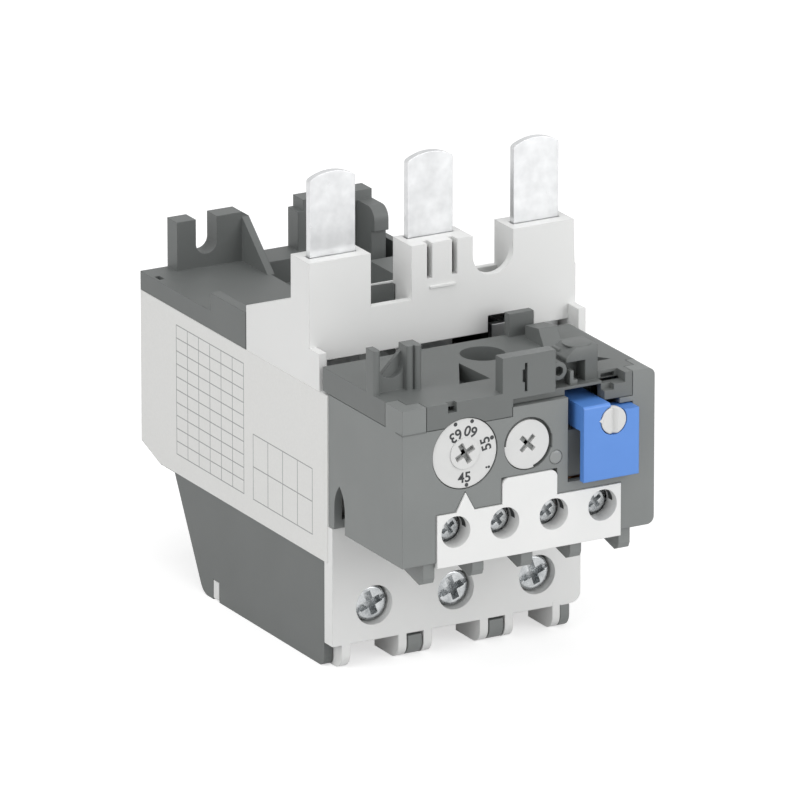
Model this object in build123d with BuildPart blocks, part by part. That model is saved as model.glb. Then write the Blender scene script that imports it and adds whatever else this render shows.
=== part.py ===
from build123d import *
import os

os.makedirs("parts", exist_ok=True)

# Driving sizes, in mm. X runs to the right seen from the front, heights count up from the feet,
# and depths count back from the load terminal face.

# Overall
side_left = -31.0  # outer left face, which the label carries
label_thickness = 0.15
shroud_right = 31.0
base_right = 26.0
terminal_right = 27.0
module_right = 27.3
base_depth = 81.9
module_depth = 28.9
button_proud = 3.1
selector_proud = 0.3
seam = 0.15  # gap between housings that lie side by side
running = 0.05  # radial clearance of a pin in its bore
stand_off = 0.3  # gap between pieces that move past each other

# Base housing
wall = 1.8
floor_top = 1.8
base_front = 3.5
heel_depth = 55.2
heel_radius = 3.6
slant_depth = 67.4
tail_z = 22.6
tail_depth = 73.6
tail_corner_z = 25.5
skirt_z = 57.0
skirt_depth = 36.4
deck_z = 62.3
curb_z = 66.2
curb_depth = 51.3
curb_width = 2.3
wire_bay_depth = 29.0
pocket_left = -8.5
pocket_right = 24.4
pocket_floor = 57.2
pocket_rear = 74.0
island_left = 13.8
island_front = 52.0
island_rear = 65.0
ear_thickness = 4.3
ear_top = 72.9
ear_left_edge = -24.5
ear_right_edge = -7.7
ear_slot_x = -17.65
ear_slot_z = 67.6
ear_slot_radius = 2.45
ear_spacing = 30.0
gusset_width = 1.6
gusset_reach = 11.1
hook_right = 21.4
hook_width = 3.4
hook_top = 71.3
hook_depth = 6.0
hook_nose = 1.2
far_ear_left = 3.9
far_ear_right = 21.4
latch_slot = 2.6
latch_slot_depth = 48.2
latch_slot_z = 4.4

# Load poles
load_pitch = 19.0
load_first = -21.2
load_screw_z = 12.75
barrier = 3.7
foot_z = 3.9
foot_front = 0.3

# Terminal shroud
shroud_bottom = 5.3
ledge_z = 30.6
face_thickness = 3.4
recess_depth = 1.7
shelf_z = skirt_z + 1.4
strip_depth = 5.3
strip_z = 66.2
tower_front = 9.5
tower_rear = 17.2
tower_wall = 1.3
tower_top = 84.1
tower_width = 14.2
tower_first = -23.75
tower_pitch = 23.6
front_wall_bottom = 63.1
front_wall = 1.7
notch_floor = 72.8
u_bottom = 75.3
window_left = 10.5
window_right = 21.3
window_top = 66.6
roof_front_z = 74.65
roof_rear_z = 67.85
roof_depth = 36.1
roof = 1.7
lobe_depth = 10.0
lobe_width = 1.9
lobe_radius = 3.0
screw_hole_radius = 4.2
tower_slot_x = 2.9
tower_slot_width = 1.2
tower_slot_bottom = 76.7
tower_ledge_z = 74.5

# Line blades
blade_width = 10.4
blade_thickness = 1.5
blade_top = 101.8
blade_tip_radius = 10.0
blade_depth = 12.6
blade_middle_set_back = 1.9
blade_shoulder_z = 59.4
blade_leg_width = 7.2
blade_foot_z = 33.0

# Load clamps
load_head_radius = 3.8
load_head_front = 1.5
load_head_rear = 5.3
load_thread_radius = 3.0
load_bar_depth = 14.5
load_bar_thickness = 2.0
load_bar_width = 9.4
load_bar_top = 24.0
clamp_wall = 2.0
clamp_front = 12.0
clamp_wire_space = 8.0
clamp_height = 11.0
clamp_side = 1.5

# Bimetals and sliders
bimetal_front = 33.5
bimetal_width = 8.0
bimetal_thickness = 1.2
bimetal_root = 24.2
bimetal_top = 51.0
slider_z = 46.2
slider_height = 3.6
slider_thickness = 2.2
slider_left = -26.5
slider_right = 21.5
finger_gap = 0.25
finger = 1.6
pin_radius = 0.65
slider_travel = 1.8
link_left = 2.4
link_thickness = 1.2
arm_left = -17.3
arm_width = 1.5
arm_nose_z = 51.2
arm_nose_height = 1.4
arm_tip = -6.6

# Control module
module_bottom = 30.85
module_rear = 1.4
module_wall = 1.8
cover_seam = shelf_z + 0.4
cover_top = cover_seam + 5.2
cover_plate = 1.6
cover_rear = 3.9
brow_left = -5.5
brow_z = cover_seam + 2.0
corner_left = -25.4
corner_right = 22.2
corner_block = 6.9
corner_step = 3.4
dial_x = -16.5
dial_z = 52.9
dial_radius = 7.3
dial_hub = 3.3
trim_x = -2.0
trim_z = 52.6
trim_radius = 4.95
trim_flange = 5.35
disc_recess = 1.6
seat_floor = 1.2
disc_gap = 0.2
disc_thickness = 1.2
lens_x = 4.4
lens_z = 48.7
lens_radius = 1.5
window_x = 7.2
window_z = 42.9
arch_front = -5.2
arch_rear = -0.8
arch_top = 40.6

# Auxiliary terminals
aux_left = -23.0
aux_right = 19.4
aux_bottom = 29.65
aux_top = 40.8
aux_tab_left = -8.0
aux_tab_right = 4.6
aux_tab_top = 46.2
aux_pointer_z = 44.7
aux_pointer_half = 2.1
aux_proud = 0.3
aux_plate = 4.2
aux_pitch = 11.3
aux_first = -18.75
aux_screw_z = 36.8
aux_hole_radius = 3.3
aux_head_radius = 2.6
aux_head_depth = 3.3
aux_head = 1.5
aux_thread_radius = 1.7
aux_bar_depth = -17.5
aux_bar_thickness = 1.2
saddle_size = 7.6
saddle_thickness = 1.2
fin_first = -24.4
fin_width = 2.6
fin_bottom = 25.9
fin_rear = -5.5
fin_front = -28.2

# Trip mechanism
leaf_z = 43.3
leaf_front = -10.2
leaf_rear = -7.4
leaf_thickness = 0.5
leaf_half = 1.5
contact_drop = 1.85
carrier_travel = 1.2
trip_pivot = (-6.0, 50.0)
trip_left = -9.7
lever_thickness = 2.8
pivot_radius = 1.2
swing_pin = (-14.9, 46.0)
setting_hinge = (-22.4, 57.0)
setting_plate_rear = -12.6
setting_plate = 1.2
cam_radius = 4.2
cam_lift = 0.3
cam_sweep = 203
cam_front = -16.8
cam_thickness = 2.6
shaft_radius = 2.5
follower_gap = 0.12
flag_drop_gap = 1.5

# Cover details
post_left = -30.85
post_gap = 5.9
post_width = 1.55
post_right_width = 3.2
post_depth = -16.3
post_z = 73.2
notch_bottom = 66.7
notch_reach = 2.9
flute = 0.75
cup_x = 1.4
cup_depth = -4.4
cup_radius = 4.65
cup_floor = cover_top - 3.6
cup_wall = 1.2
pocket_corners = [(-5.8, -7.4), (-12.2, -19.0), (-5.1, -19.0)]
mark_x = 22.0
mark_depth = -8.0
mark_radius = 3.15
block_left = -7.9
block_right = 4.3
block_depth = 2.9
block_z = 71.4

stub_x = 7.6
stub_z = cover_top + 1.6
stub_radius = 1.7
stub_front = -24.4
stub_rear = -15.0

# Reset button
button_left = 9.1
button_right = 21.9
button_bottom = 43.3
button_top = 59.2
button_shoulder = 57.4
button_plate = 1.5
arm_right_x = 15.3
arm_bottom = 53.9
stem_rear = -12.4
selector_x = 16.0
selector_z = 55.5
selector_radius = 2.85
spring_wall_depth = -6.0
spring_wire = 0.35
spring_radius = 2.2
spring_turns = 6

left = side_left + label_thickness
module_front = -module_depth
y0 = (module_depth + button_proud + selector_proud - base_depth) / 2
load_x = [load_first + load_pitch * i for i in range(3)]
barrier_x = [load_first + load_pitch * (i + 0.5) for i in range(2)]
chamber = load_pitch - barrier
tower_x = [tower_first + tower_pitch * i for i in range(3)]
aux_x = [aux_first + aux_pitch * i for i in range(4)]
fin_x = [fin_first + aux_pitch * i for i in range(5)]


def side(x):
    """Plane across X, drawn with depth to the right and height up."""
    return Plane(origin=(x, y0, 0), x_dir=(0, 1, 0), z_dir=(1, 0, 0))


def front(depth):
    """Plane facing the front, drawn with X to the right and height up."""
    return Plane(origin=(0, y0 + depth, 0), x_dir=(1, 0, 0), z_dir=(0, -1, 0))


def level(height):
    """Plane facing up, drawn with X to the right and depth up."""
    return Plane(origin=(0, y0, height))


def outline(plane, points, thickness, mode=Mode.ADD):
    """Closed polygon on a plane, carried along the plane's normal."""
    with BuildSketch(plane) as face:
        with BuildLine():
            Polyline(*points, close=True)
        make_face()
    extrude(face.sketch, amount=thickness, mode=mode)


def brick(x, y, z, mode=Mode.ADD):
    """Block between two values each way."""
    points = [(x[0], y[0]), (x[1], y[0]), (x[1], y[1]), (x[0], y[1])]
    outline(level(z[0]), points, z[1] - z[0], mode)


def rod(x, z, y, radius, mode=Mode.ADD):
    """Round bar or bore that runs front to back."""
    with BuildSketch(front(y[1])) as face:
        with Locations((x, z)):
            Circle(radius)
    extrude(face.sketch, amount=y[1] - y[0], mode=mode)


def soften(part, axis, near, radius):
    """Round the one edge along an axis that passes closest to a point."""
    point = (near[0], y0 + near[1], near[2])
    fillet(part.edges().filter_by(axis).sort_by_distance(point)[:1], radius)


def cross(x, z, y, arm, half, mode=Mode.SUBTRACT, turn=0):
    """Cross recess for a driver, cut between two depths."""
    with BuildSketch(front(y[1])) as face:
        with Locations((x, z)):
            Rectangle(2 * arm, 2 * half, rotation=turn)
            Rectangle(2 * half, 2 * arm, rotation=turn)
    extrude(face.sketch, amount=y[1] - y[0], mode=mode)


def save(piece, name):
    piece.part.label = name
    export_step(piece.part, f"parts/{name}.step")


# Base housing: side outline carried across, three chambers, barriers with feet, deck and ears
with BuildPart() as base_housing:
    shell = [(base_front, 0), (heel_depth, 0), (slant_depth, tail_z), (tail_depth, tail_z),
             (base_depth, tail_corner_z), (base_depth, deck_z), (skirt_depth, deck_z),
             (skirt_depth, skirt_z), (base_front, skirt_z)]
    outline(side(left), shell, base_right - left)
    soften(base_housing, Axis.X, (0, heel_depth, 0), heel_radius)
    soften(base_housing, Axis.X, (0, base_front, 0), 2)
    for index, x in enumerate(load_x):
        ceiling = pocket_floor - wall if index else deck_z - wall
        front_wall_depth = skirt_depth if index else skirt_depth + wall
        hollow = [(base_front - 1, -1), (wire_bay_depth, -1), (wire_bay_depth, floor_top),
                  (heel_depth - wall, floor_top), (slant_depth - wall, tail_z + wall),
                  (base_depth - wall, tail_corner_z + wall), (base_depth - wall, ceiling),
                  (front_wall_depth, ceiling), (front_wall_depth, skirt_z),
                  (skirt_depth, skirt_z), (skirt_depth, skirt_z + 1), (base_front - 1, skirt_z + 1)]
        if index:
            hollow = hollow[:8] + hollow[10:]
        outline(side(x - chamber / 2), hollow, chamber, Mode.SUBTRACT)
    # barrier feet that show between the lobes of the shroud
    for x in barrier_x:
        toe = [(foot_front, foot_z), (foot_front, 2.6), (1.2, 0.8), (3.2, 0), (lobe_depth, 0),
               (lobe_depth, foot_z)]
        outline(side(x - barrier / 2), toe, barrier)
    # window through the barriers for the two sliders
    brick((barrier_x[0] - barrier, barrier_x[1] + barrier),
          (bimetal_front - slider_thickness - 2 * stand_off - running,
           bimetal_front + bimetal_width + slider_thickness + 2 * stand_off + running),
          (slider_z - stand_off, slider_z + slider_height + stand_off), Mode.SUBTRACT)
    # sunken pocket in the deck, around a raised island
    brick((pocket_left, island_left), (skirt_depth, pocket_rear), (pocket_floor, deck_z), Mode.SUBTRACT)
    brick((island_left, pocket_right), (skirt_depth, island_front), (pocket_floor, deck_z), Mode.SUBTRACT)
    brick((island_left, pocket_right), (island_rear, base_depth - ear_thickness),
          (pocket_floor, deck_z), Mode.SUBTRACT)
    # curb on the left edge of the deck
    brick((left, left + curb_width), (skirt_depth, curb_depth), (deck_z - 1, curb_z))
    brick((left + 0.6, left + 1.8), (74.6, 77.0), (deck_z - 1, deck_z), Mode.SUBTRACT)
    # left ear with its gusset
    ear_face = base_depth
    outline(front(ear_face), [(ear_left_edge, deck_z - 1), (ear_right_edge, deck_z - 1),
                              (ear_right_edge, ear_top - 1), (ear_right_edge - 1.5, ear_top),
                              (ear_left_edge, ear_top)], ear_thickness)
    outline(side(ear_right_edge - gusset_width),
            [(base_depth - ear_thickness, deck_z - 1), (base_depth - ear_thickness, ear_top - 1),
             (base_depth - ear_thickness - gusset_reach, deck_z),
             (base_depth - ear_thickness - gusset_reach, deck_z - 1)], gusset_width)
    # right ear with stepped edge, and the hook beside it
    outline(front(ear_face), [(far_ear_left, deck_z - 1), (far_ear_right, deck_z - 1),
                              (far_ear_right, ear_top + 0.4), (far_ear_left + 1.2, ear_top + 0.4),
                              (far_ear_left + 1.2, ear_top - 2.1), (far_ear_left, ear_top - 2.1)],
            ear_thickness)
    hook_front = base_depth - ear_thickness - hook_depth
    with BuildSketch(side(hook_right - hook_width)) as hook:
        with BuildLine():
            Polyline((base_depth, pocket_floor), (base_depth, hook_top), (hook_front + 1.5, hook_top))
            RadiusArc((hook_front + 1.5, hook_top), (hook_front - hook_nose, hook_top - 2.7), -2.7)
            Polyline((hook_front - hook_nose, hook_top - 2.7), (hook_front - hook_nose, hook_top - 5),
                     (hook_front, hook_top - 5), (hook_front, pocket_floor), (base_depth, pocket_floor))
        make_face()
    extrude(hook.sketch, amount=hook_width)
    # slots for the mounting screws
    for x in (ear_slot_x, ear_slot_x + ear_spacing):
        rod(x, ear_slot_z, (base_depth - ear_thickness - 1, base_depth + 1), ear_slot_radius,
            Mode.SUBTRACT)
        brick((x - ear_slot_radius, x + ear_slot_radius),
              (base_depth - ear_thickness - 1, base_depth + 1), (ear_slot_z, ear_top + 2), Mode.SUBTRACT)
    # latch slots low in both side walls
    for x in ((left - 1, load_x[0] - chamber / 2 + 0.05), (load_x[2] + chamber / 2 - 0.05, base_right + 1)):
        brick(x, (latch_slot_depth, latch_slot_depth + latch_slot), (-1, latch_slot_z), Mode.SUBTRACT)
save(base_housing, "base_housing")

# Terminal shroud: load terminal face with lobes, recess for the module, side walls, towers, roof
with BuildPart() as terminal_shroud:
    # load terminal face and the thinner wall above it
    brick((left, terminal_right), (0, face_thickness), (shroud_bottom, ledge_z))
    soften(terminal_shroud, Axis.Y, (terminal_right, 0, shroud_bottom), 2.2)
    brick((left, terminal_right), (recess_depth, face_thickness), (ledge_z, shelf_z))
    for x in load_x:
        rod(x, load_screw_z, (-1, face_thickness + 1), screw_hole_radius, Mode.SUBTRACT)
    # lobes on both sides of each barrier foot
    inner_left = load_x[0] - chamber / 2
    inner_right = load_x[2] + chamber / 2
    lobe_left = [inner_left + seam]
    for x in barrier_x:
        lobe_left.append(x - barrier / 2 - seam - lobe_width)
        lobe_left.append(x + barrier / 2 + seam)
    lobe_left.append(inner_right - seam - lobe_width)
    for x in lobe_left:
        with BuildSketch(side(x)) as lobe:
            with BuildLine():
                Polyline((0, lobe_radius), (0, shroud_bottom + 1), (lobe_depth, shroud_bottom + 1),
                         (lobe_depth, 0), (lobe_radius, 0))
                RadiusArc((0, lobe_radius), (lobe_radius, 0), -lobe_radius)
            make_face()
        extrude(lobe.sketch, amount=lobe_width)
    # latch arms along the inside of the base, ending in tongues that fill its slots
    tongue = (latch_slot_depth + seam, latch_slot_depth + latch_slot - seam)
    brick((inner_left + seam, inner_left + seam + 1.1), (face_thickness, tongue[1]),
          (floor_top + seam, latch_slot_z - seam))
    brick((left, inner_left + 1), tongue, (floor_top + seam, latch_slot_z - seam))
    brick((left, inner_left), tongue, (0.4, latch_slot_z - seam))
    brick((inner_right - seam - 1.1, inner_right - seam), (face_thickness, tongue[1]),
          (floor_top + seam, latch_slot_z - seam))
    brick((inner_right - 1, base_right), tongue, (floor_top + seam, latch_slot_z - seam))
    brick((inner_right, base_right), tongue, (0.4, latch_slot_z - seam))
    # left wall from the terminal face up to the roof
    tall = [(strip_depth, shelf_z), (strip_depth, strip_z), (tower_front, strip_z),
            (tower_front, roof_front_z), (tower_rear, roof_front_z), (roof_depth, roof_rear_z),
            (roof_depth, skirt_z + seam)]
    outline(side(left), [(recess_depth, ledge_z), (recess_depth, shelf_z)] + tall
            + [(face_thickness, skirt_z + seam), (face_thickness, ledge_z)], roof)
    # right wall, which overhangs the base, with the shelf that closes it below
    outline(side(shroud_right - roof), tall + [(strip_depth, skirt_z + seam)], roof)
    shelf_left = tower_x[2]
    brick((shelf_left, terminal_right), (recess_depth, face_thickness + 1), (skirt_z + seam, shelf_z))
    brick((shelf_left, shroud_right), (face_thickness, tower_front - 1), (skirt_z + seam, shelf_z))
    brick((base_right - wall + 1, shroud_right), (face_thickness, roof_depth), (skirt_z + seam, shelf_z))
    # front wall with the square notch, the round notch, the window and three towers
    half = tower_width / 2
    notch_radius = (tower_pitch - tower_width) / 2
    with BuildSketch(front(tower_front + front_wall)) as face:
        with BuildLine():
            Polyline((left, front_wall_bottom), (window_left, front_wall_bottom),
                     (window_left, window_top), (window_right, window_top),
                     (window_right, front_wall_bottom), (shroud_right, front_wall_bottom),
                     (shroud_right, strip_z), (tower_x[2] + half, tower_top),
                     (tower_x[2] - half, tower_top), (tower_x[2] - half, u_bottom + notch_radius))
            RadiusArc((tower_x[2] - half, u_bottom + notch_radius),
                      (tower_x[1] + half, u_bottom + notch_radius), notch_radius)
            Polyline((tower_x[1] + half, u_bottom + notch_radius), (tower_x[1] + half, tower_top),
                     (tower_x[1] - half, tower_top), (tower_x[1] - half, notch_floor),
                     (tower_x[0] + half, notch_floor), (tower_x[0] + half, tower_top),
                     (left, tower_top), (left, front_wall_bottom))
        make_face()
    extrude(face.sketch, amount=front_wall)
    for index, x in enumerate(tower_x):
        set_back = blade_middle_set_back if index == 1 else 0
        edge = max(x - half, left)
        brick((edge, x + half), (tower_front, tower_rear), (roof_front_z - 9, tower_top))
        brick((edge + tower_wall, x + half - tower_wall),
              (tower_front + front_wall, tower_rear - tower_wall + 0.2),
              (roof_front_z - 10, tower_top - tower_wall), Mode.SUBTRACT)
        near = blade_depth + set_back
        brick((x - blade_width / 2 - stand_off, x + blade_width / 2 + stand_off),
              (near - stand_off, near + blade_thickness + stand_off), (tower_top - 3, tower_top + 1),
              Mode.SUBTRACT)
    # two slots and a ledge in the front of the middle tower
    for x in (tower_x[1] - tower_slot_x, tower_x[1] + tower_slot_x):
        brick((x - tower_slot_width / 2, x + tower_slot_width / 2),
              (tower_front - 1, tower_front + front_wall + 0.5), (tower_slot_bottom, tower_top + 1),
              Mode.SUBTRACT)
    brick((tower_x[1] - tower_slot_x, tower_x[1] + tower_slot_x), (tower_front - 0.35, tower_front),
          (tower_ledge_z, tower_ledge_z + 0.5))
    # sloping roof behind the towers, open between the first two
    roof_section = [(tower_rear - 1, roof_front_z), (tower_rear, roof_front_z), (roof_depth, roof_rear_z),
                    (roof_depth, skirt_z + seam), (roof_depth - roof, skirt_z + seam),
                    (roof_depth - roof, roof_rear_z - roof), (tower_rear, roof_front_z - roof),
                    (tower_rear - 1, roof_front_z - roof)]
    channel_left = tower_x[0] + half
    channel_right = tower_x[1] - half
    outline(side(left), roof_section, channel_left - left)
    outline(side(channel_right), roof_section, shroud_right - channel_right)
    cheek = [(tower_rear - tower_wall, shelf_z), (roof_depth, shelf_z), (roof_depth, roof_rear_z),
             (tower_rear, roof_front_z), (tower_rear - tower_wall, roof_front_z)]
    outline(side(channel_left - tower_wall), cheek, tower_wall)
    outline(side(channel_right), cheek, tower_wall)
    # floor of the open channel
    brick((channel_left - tower_wall, channel_right + tower_wall), (tower_rear - tower_wall, roof_depth),
          (skirt_z + seam, shelf_z))
    # way for the slider's arm through the recessed wall
    brick((arm_left - 0.7, arm_left + arm_width + 2.2), (recess_depth - 1, face_thickness + 0.1),
          (slider_z - 0.7, arm_nose_z + arm_nose_height + 0.6), Mode.SUBTRACT)
save(terminal_shroud, "terminal_shroud")

# Side label, a thin sticker over the base and the shroud
with BuildPart() as side_label:
    outline(side(side_left), [(recess_depth + 0.1, tail_z + 0.2), (tail_depth - 0.2, tail_z + 0.2),
                              (base_depth - 0.3, tail_corner_z + 0.2), (base_depth - 0.3, skirt_z + 1.3),
                              (recess_depth + 0.1, skirt_z + 1.3)], label_thickness)
save(side_label, "side_label")

# Line blades: round-tipped tab, shoulder, leg down into the chamber and foot at the heater
for index, (tab_x, leg_x) in enumerate(zip(tower_x, load_x)):
    set_back = blade_middle_set_back if index == 1 else 0
    near = blade_depth + set_back
    half = blade_width / 2
    rise = blade_tip_radius - (blade_tip_radius**2 - half**2) ** 0.5
    with BuildPart() as line_blade:
        with BuildSketch(front(near + blade_thickness)) as tab:
            with BuildLine():
                Polyline((tab_x - half, blade_top - rise), (tab_x - half, blade_shoulder_z),
                         (tab_x + half, blade_shoulder_z), (tab_x + half, blade_top - rise))
                RadiusArc((tab_x - half, blade_top - rise), (tab_x + half, blade_top - rise),
                          blade_tip_radius)
            make_face()
        extrude(tab.sketch, amount=blade_thickness)
        corners = line_blade.edges().filter_by(Axis.Y).group_by(Axis.Z)[-1]
        fillet(corners, 0.8)
        leg = (leg_x - blade_leg_width / 2, leg_x + blade_leg_width / 2)
        brick(leg, (near, near + blade_thickness), (blade_foot_z, blade_shoulder_z + 4))
        brick(leg, (near, bimetal_front - 1.2), (blade_foot_z, blade_foot_z + blade_thickness))
    save(line_blade, f"line_blade_{index + 1}")

# Load terminal bars: upright part in the clamp, flat part back to the bimetal
for index, x in enumerate(load_x):
    with BuildPart() as load_terminal:
        rear = load_bar_depth + load_bar_thickness
        outline(side(x - load_bar_width / 2),
                [(load_bar_depth, 6.5), (rear, 6.5), (rear, load_bar_top - load_bar_thickness),
                 (bimetal_front + bimetal_width + 1, load_bar_top - load_bar_thickness),
                 (bimetal_front + bimetal_width + 1, load_bar_top), (load_bar_depth, load_bar_top)],
                load_bar_width)
        soften(load_terminal, Axis.X, (x, load_bar_depth, load_bar_top), 1.8)
    save(load_terminal, f"load_terminal_{index + 1}")

# Box clamps around the terminal bars, and the screws that draw them forward
for index, x in enumerate(load_x):
    inner = load_bar_width / 2 + stand_off
    outer = inner + clamp_side
    clamp_rear = load_bar_depth + load_bar_thickness + clamp_wire_space
    low = load_screw_z - clamp_height / 2
    with BuildPart() as load_clamp:
        brick((x - outer, x + outer), (clamp_front, clamp_rear + clamp_wall), (low, low + clamp_height))
        brick((x - inner, x + inner), (clamp_front + clamp_wall, clamp_rear), (low - 1, low + clamp_height + 1),
              Mode.SUBTRACT)
        rod(x, load_screw_z, (clamp_front - 1, clamp_front + clamp_wall + 0.1),
            load_thread_radius + running, Mode.SUBTRACT)
    save(load_clamp, f"load_clamp_{index + 1}")
    with BuildPart() as load_screw:
        rod(x, load_screw_z, (load_head_front, load_head_rear), load_head_radius)
        fillet(load_screw.edges().group_by(Axis.Y)[0], 0.7)
        rod(x, load_screw_z, (load_head_rear, load_bar_depth - 0.1), load_thread_radius)
        cross(x, load_screw_z, (load_head_front - 0.1, load_head_front + 2.2), 2.6, 0.75, turn=20)
        with BuildSketch(front(load_head_front + 0.9)) as slot:
            with Locations((x, load_screw_z)):
                Rectangle(2.1 * load_head_radius, 1.0, rotation=20)
        extrude(slot.sketch, amount=1, mode=Mode.SUBTRACT)
    save(load_screw, f"load_screw_{index + 1}")

# Bimetal strips with their heater windings
for index, x in enumerate(load_x):
    half = bimetal_thickness / 2
    rear = bimetal_front + bimetal_width
    with BuildPart() as bimetal_strip:
        brick((x - half, x + half), (bimetal_front, rear), (bimetal_root, bimetal_top))
        soften(bimetal_strip, Axis.X, (x, bimetal_front, bimetal_top), 1.5)
        soften(bimetal_strip, Axis.X, (x, rear, bimetal_top), 1.5)
    save(bimetal_strip, f"bimetal_strip_{index + 1}")
    with BuildPart() as heater_winding:
        brick((x - 1.6, x + 1.6), (bimetal_front - 0.7, rear + 0.7), (27, 43))
        for turn in range(6):
            brick((x - 2.2, x + 2.2), (bimetal_front - 0.9, rear + 0.9), (27.6 + 2.6 * turn, 29.4 + 2.6 * turn))
        brick((x - half - 0.15, x + half + 0.15), (bimetal_front - 0.15, rear + 0.15), (26, 44),
              Mode.SUBTRACT)
    save(heater_winding, f"heater_winding_{index + 1}")

# Trip slider in front of the strips, with the arm that reaches into the module
slider = (slider_z, slider_z + slider_height)
near = bimetal_front - stand_off
with BuildPart() as trip_slider:
    brick((slider_left, slider_right), (near - slider_thickness, near), slider)
    for x in load_x:
        reach = x + bimetal_thickness / 2 + finger_gap
        brick((reach, reach + finger), (near - 0.5, bimetal_front + bimetal_width / 2 - 0.5), slider)
    with BuildSketch(level(slider[1])) as pin:
        with Locations((slider_left + link_left, near - slider_thickness / 2)):
            Circle(pin_radius)
    extrude(pin.sketch, amount=link_thickness + 0.1)
    outline(side(arm_left),
            [(near - 1, slider[0]), (near - 1, slider[1]), (6, slider[1]),
             (3.6, arm_nose_z + arm_nose_height), (arm_tip, arm_nose_z + arm_nose_height),
             (arm_tip, arm_nose_z), (1, arm_nose_z), (4, slider[0])], arm_width)
save(trip_slider, "trip_slider")

# Return slider behind the strips
far = bimetal_front + bimetal_width + stand_off
with BuildPart() as return_slider:
    brick((slider_left, slider_right), (far, far + slider_thickness), slider)
    for x in load_x:
        reach = x - bimetal_thickness / 2 - finger_gap
        brick((reach - finger, reach), (bimetal_front + bimetal_width / 2 + 0.5, far + 0.5), slider)
    with BuildSketch(level(slider[1])) as pin:
        with Locations((slider_left + link_left, far + slider_thickness / 2)):
            Circle(pin_radius)
    extrude(pin.sketch, amount=link_thickness + 0.1)
save(return_slider, "return_slider")

# Differential lever, a link that lies on both sliders
with BuildPart() as differential_lever:
    with BuildSketch(level(slider[1] + 0.05)) as link:
        with Locations((slider_left + link_left, (near + far) / 2)):
            SlotCenterToCenter(far - near + slider_thickness, 3.2, rotation=90)
        with Locations((slider_left + link_left, near - slider_thickness / 2),
                       (slider_left + link_left, far + slider_thickness / 2)):
            Circle(pin_radius + running, mode=Mode.SUBTRACT)
    extrude(link.sketch, amount=link_thickness)
save(differential_lever, "differential_lever")

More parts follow.
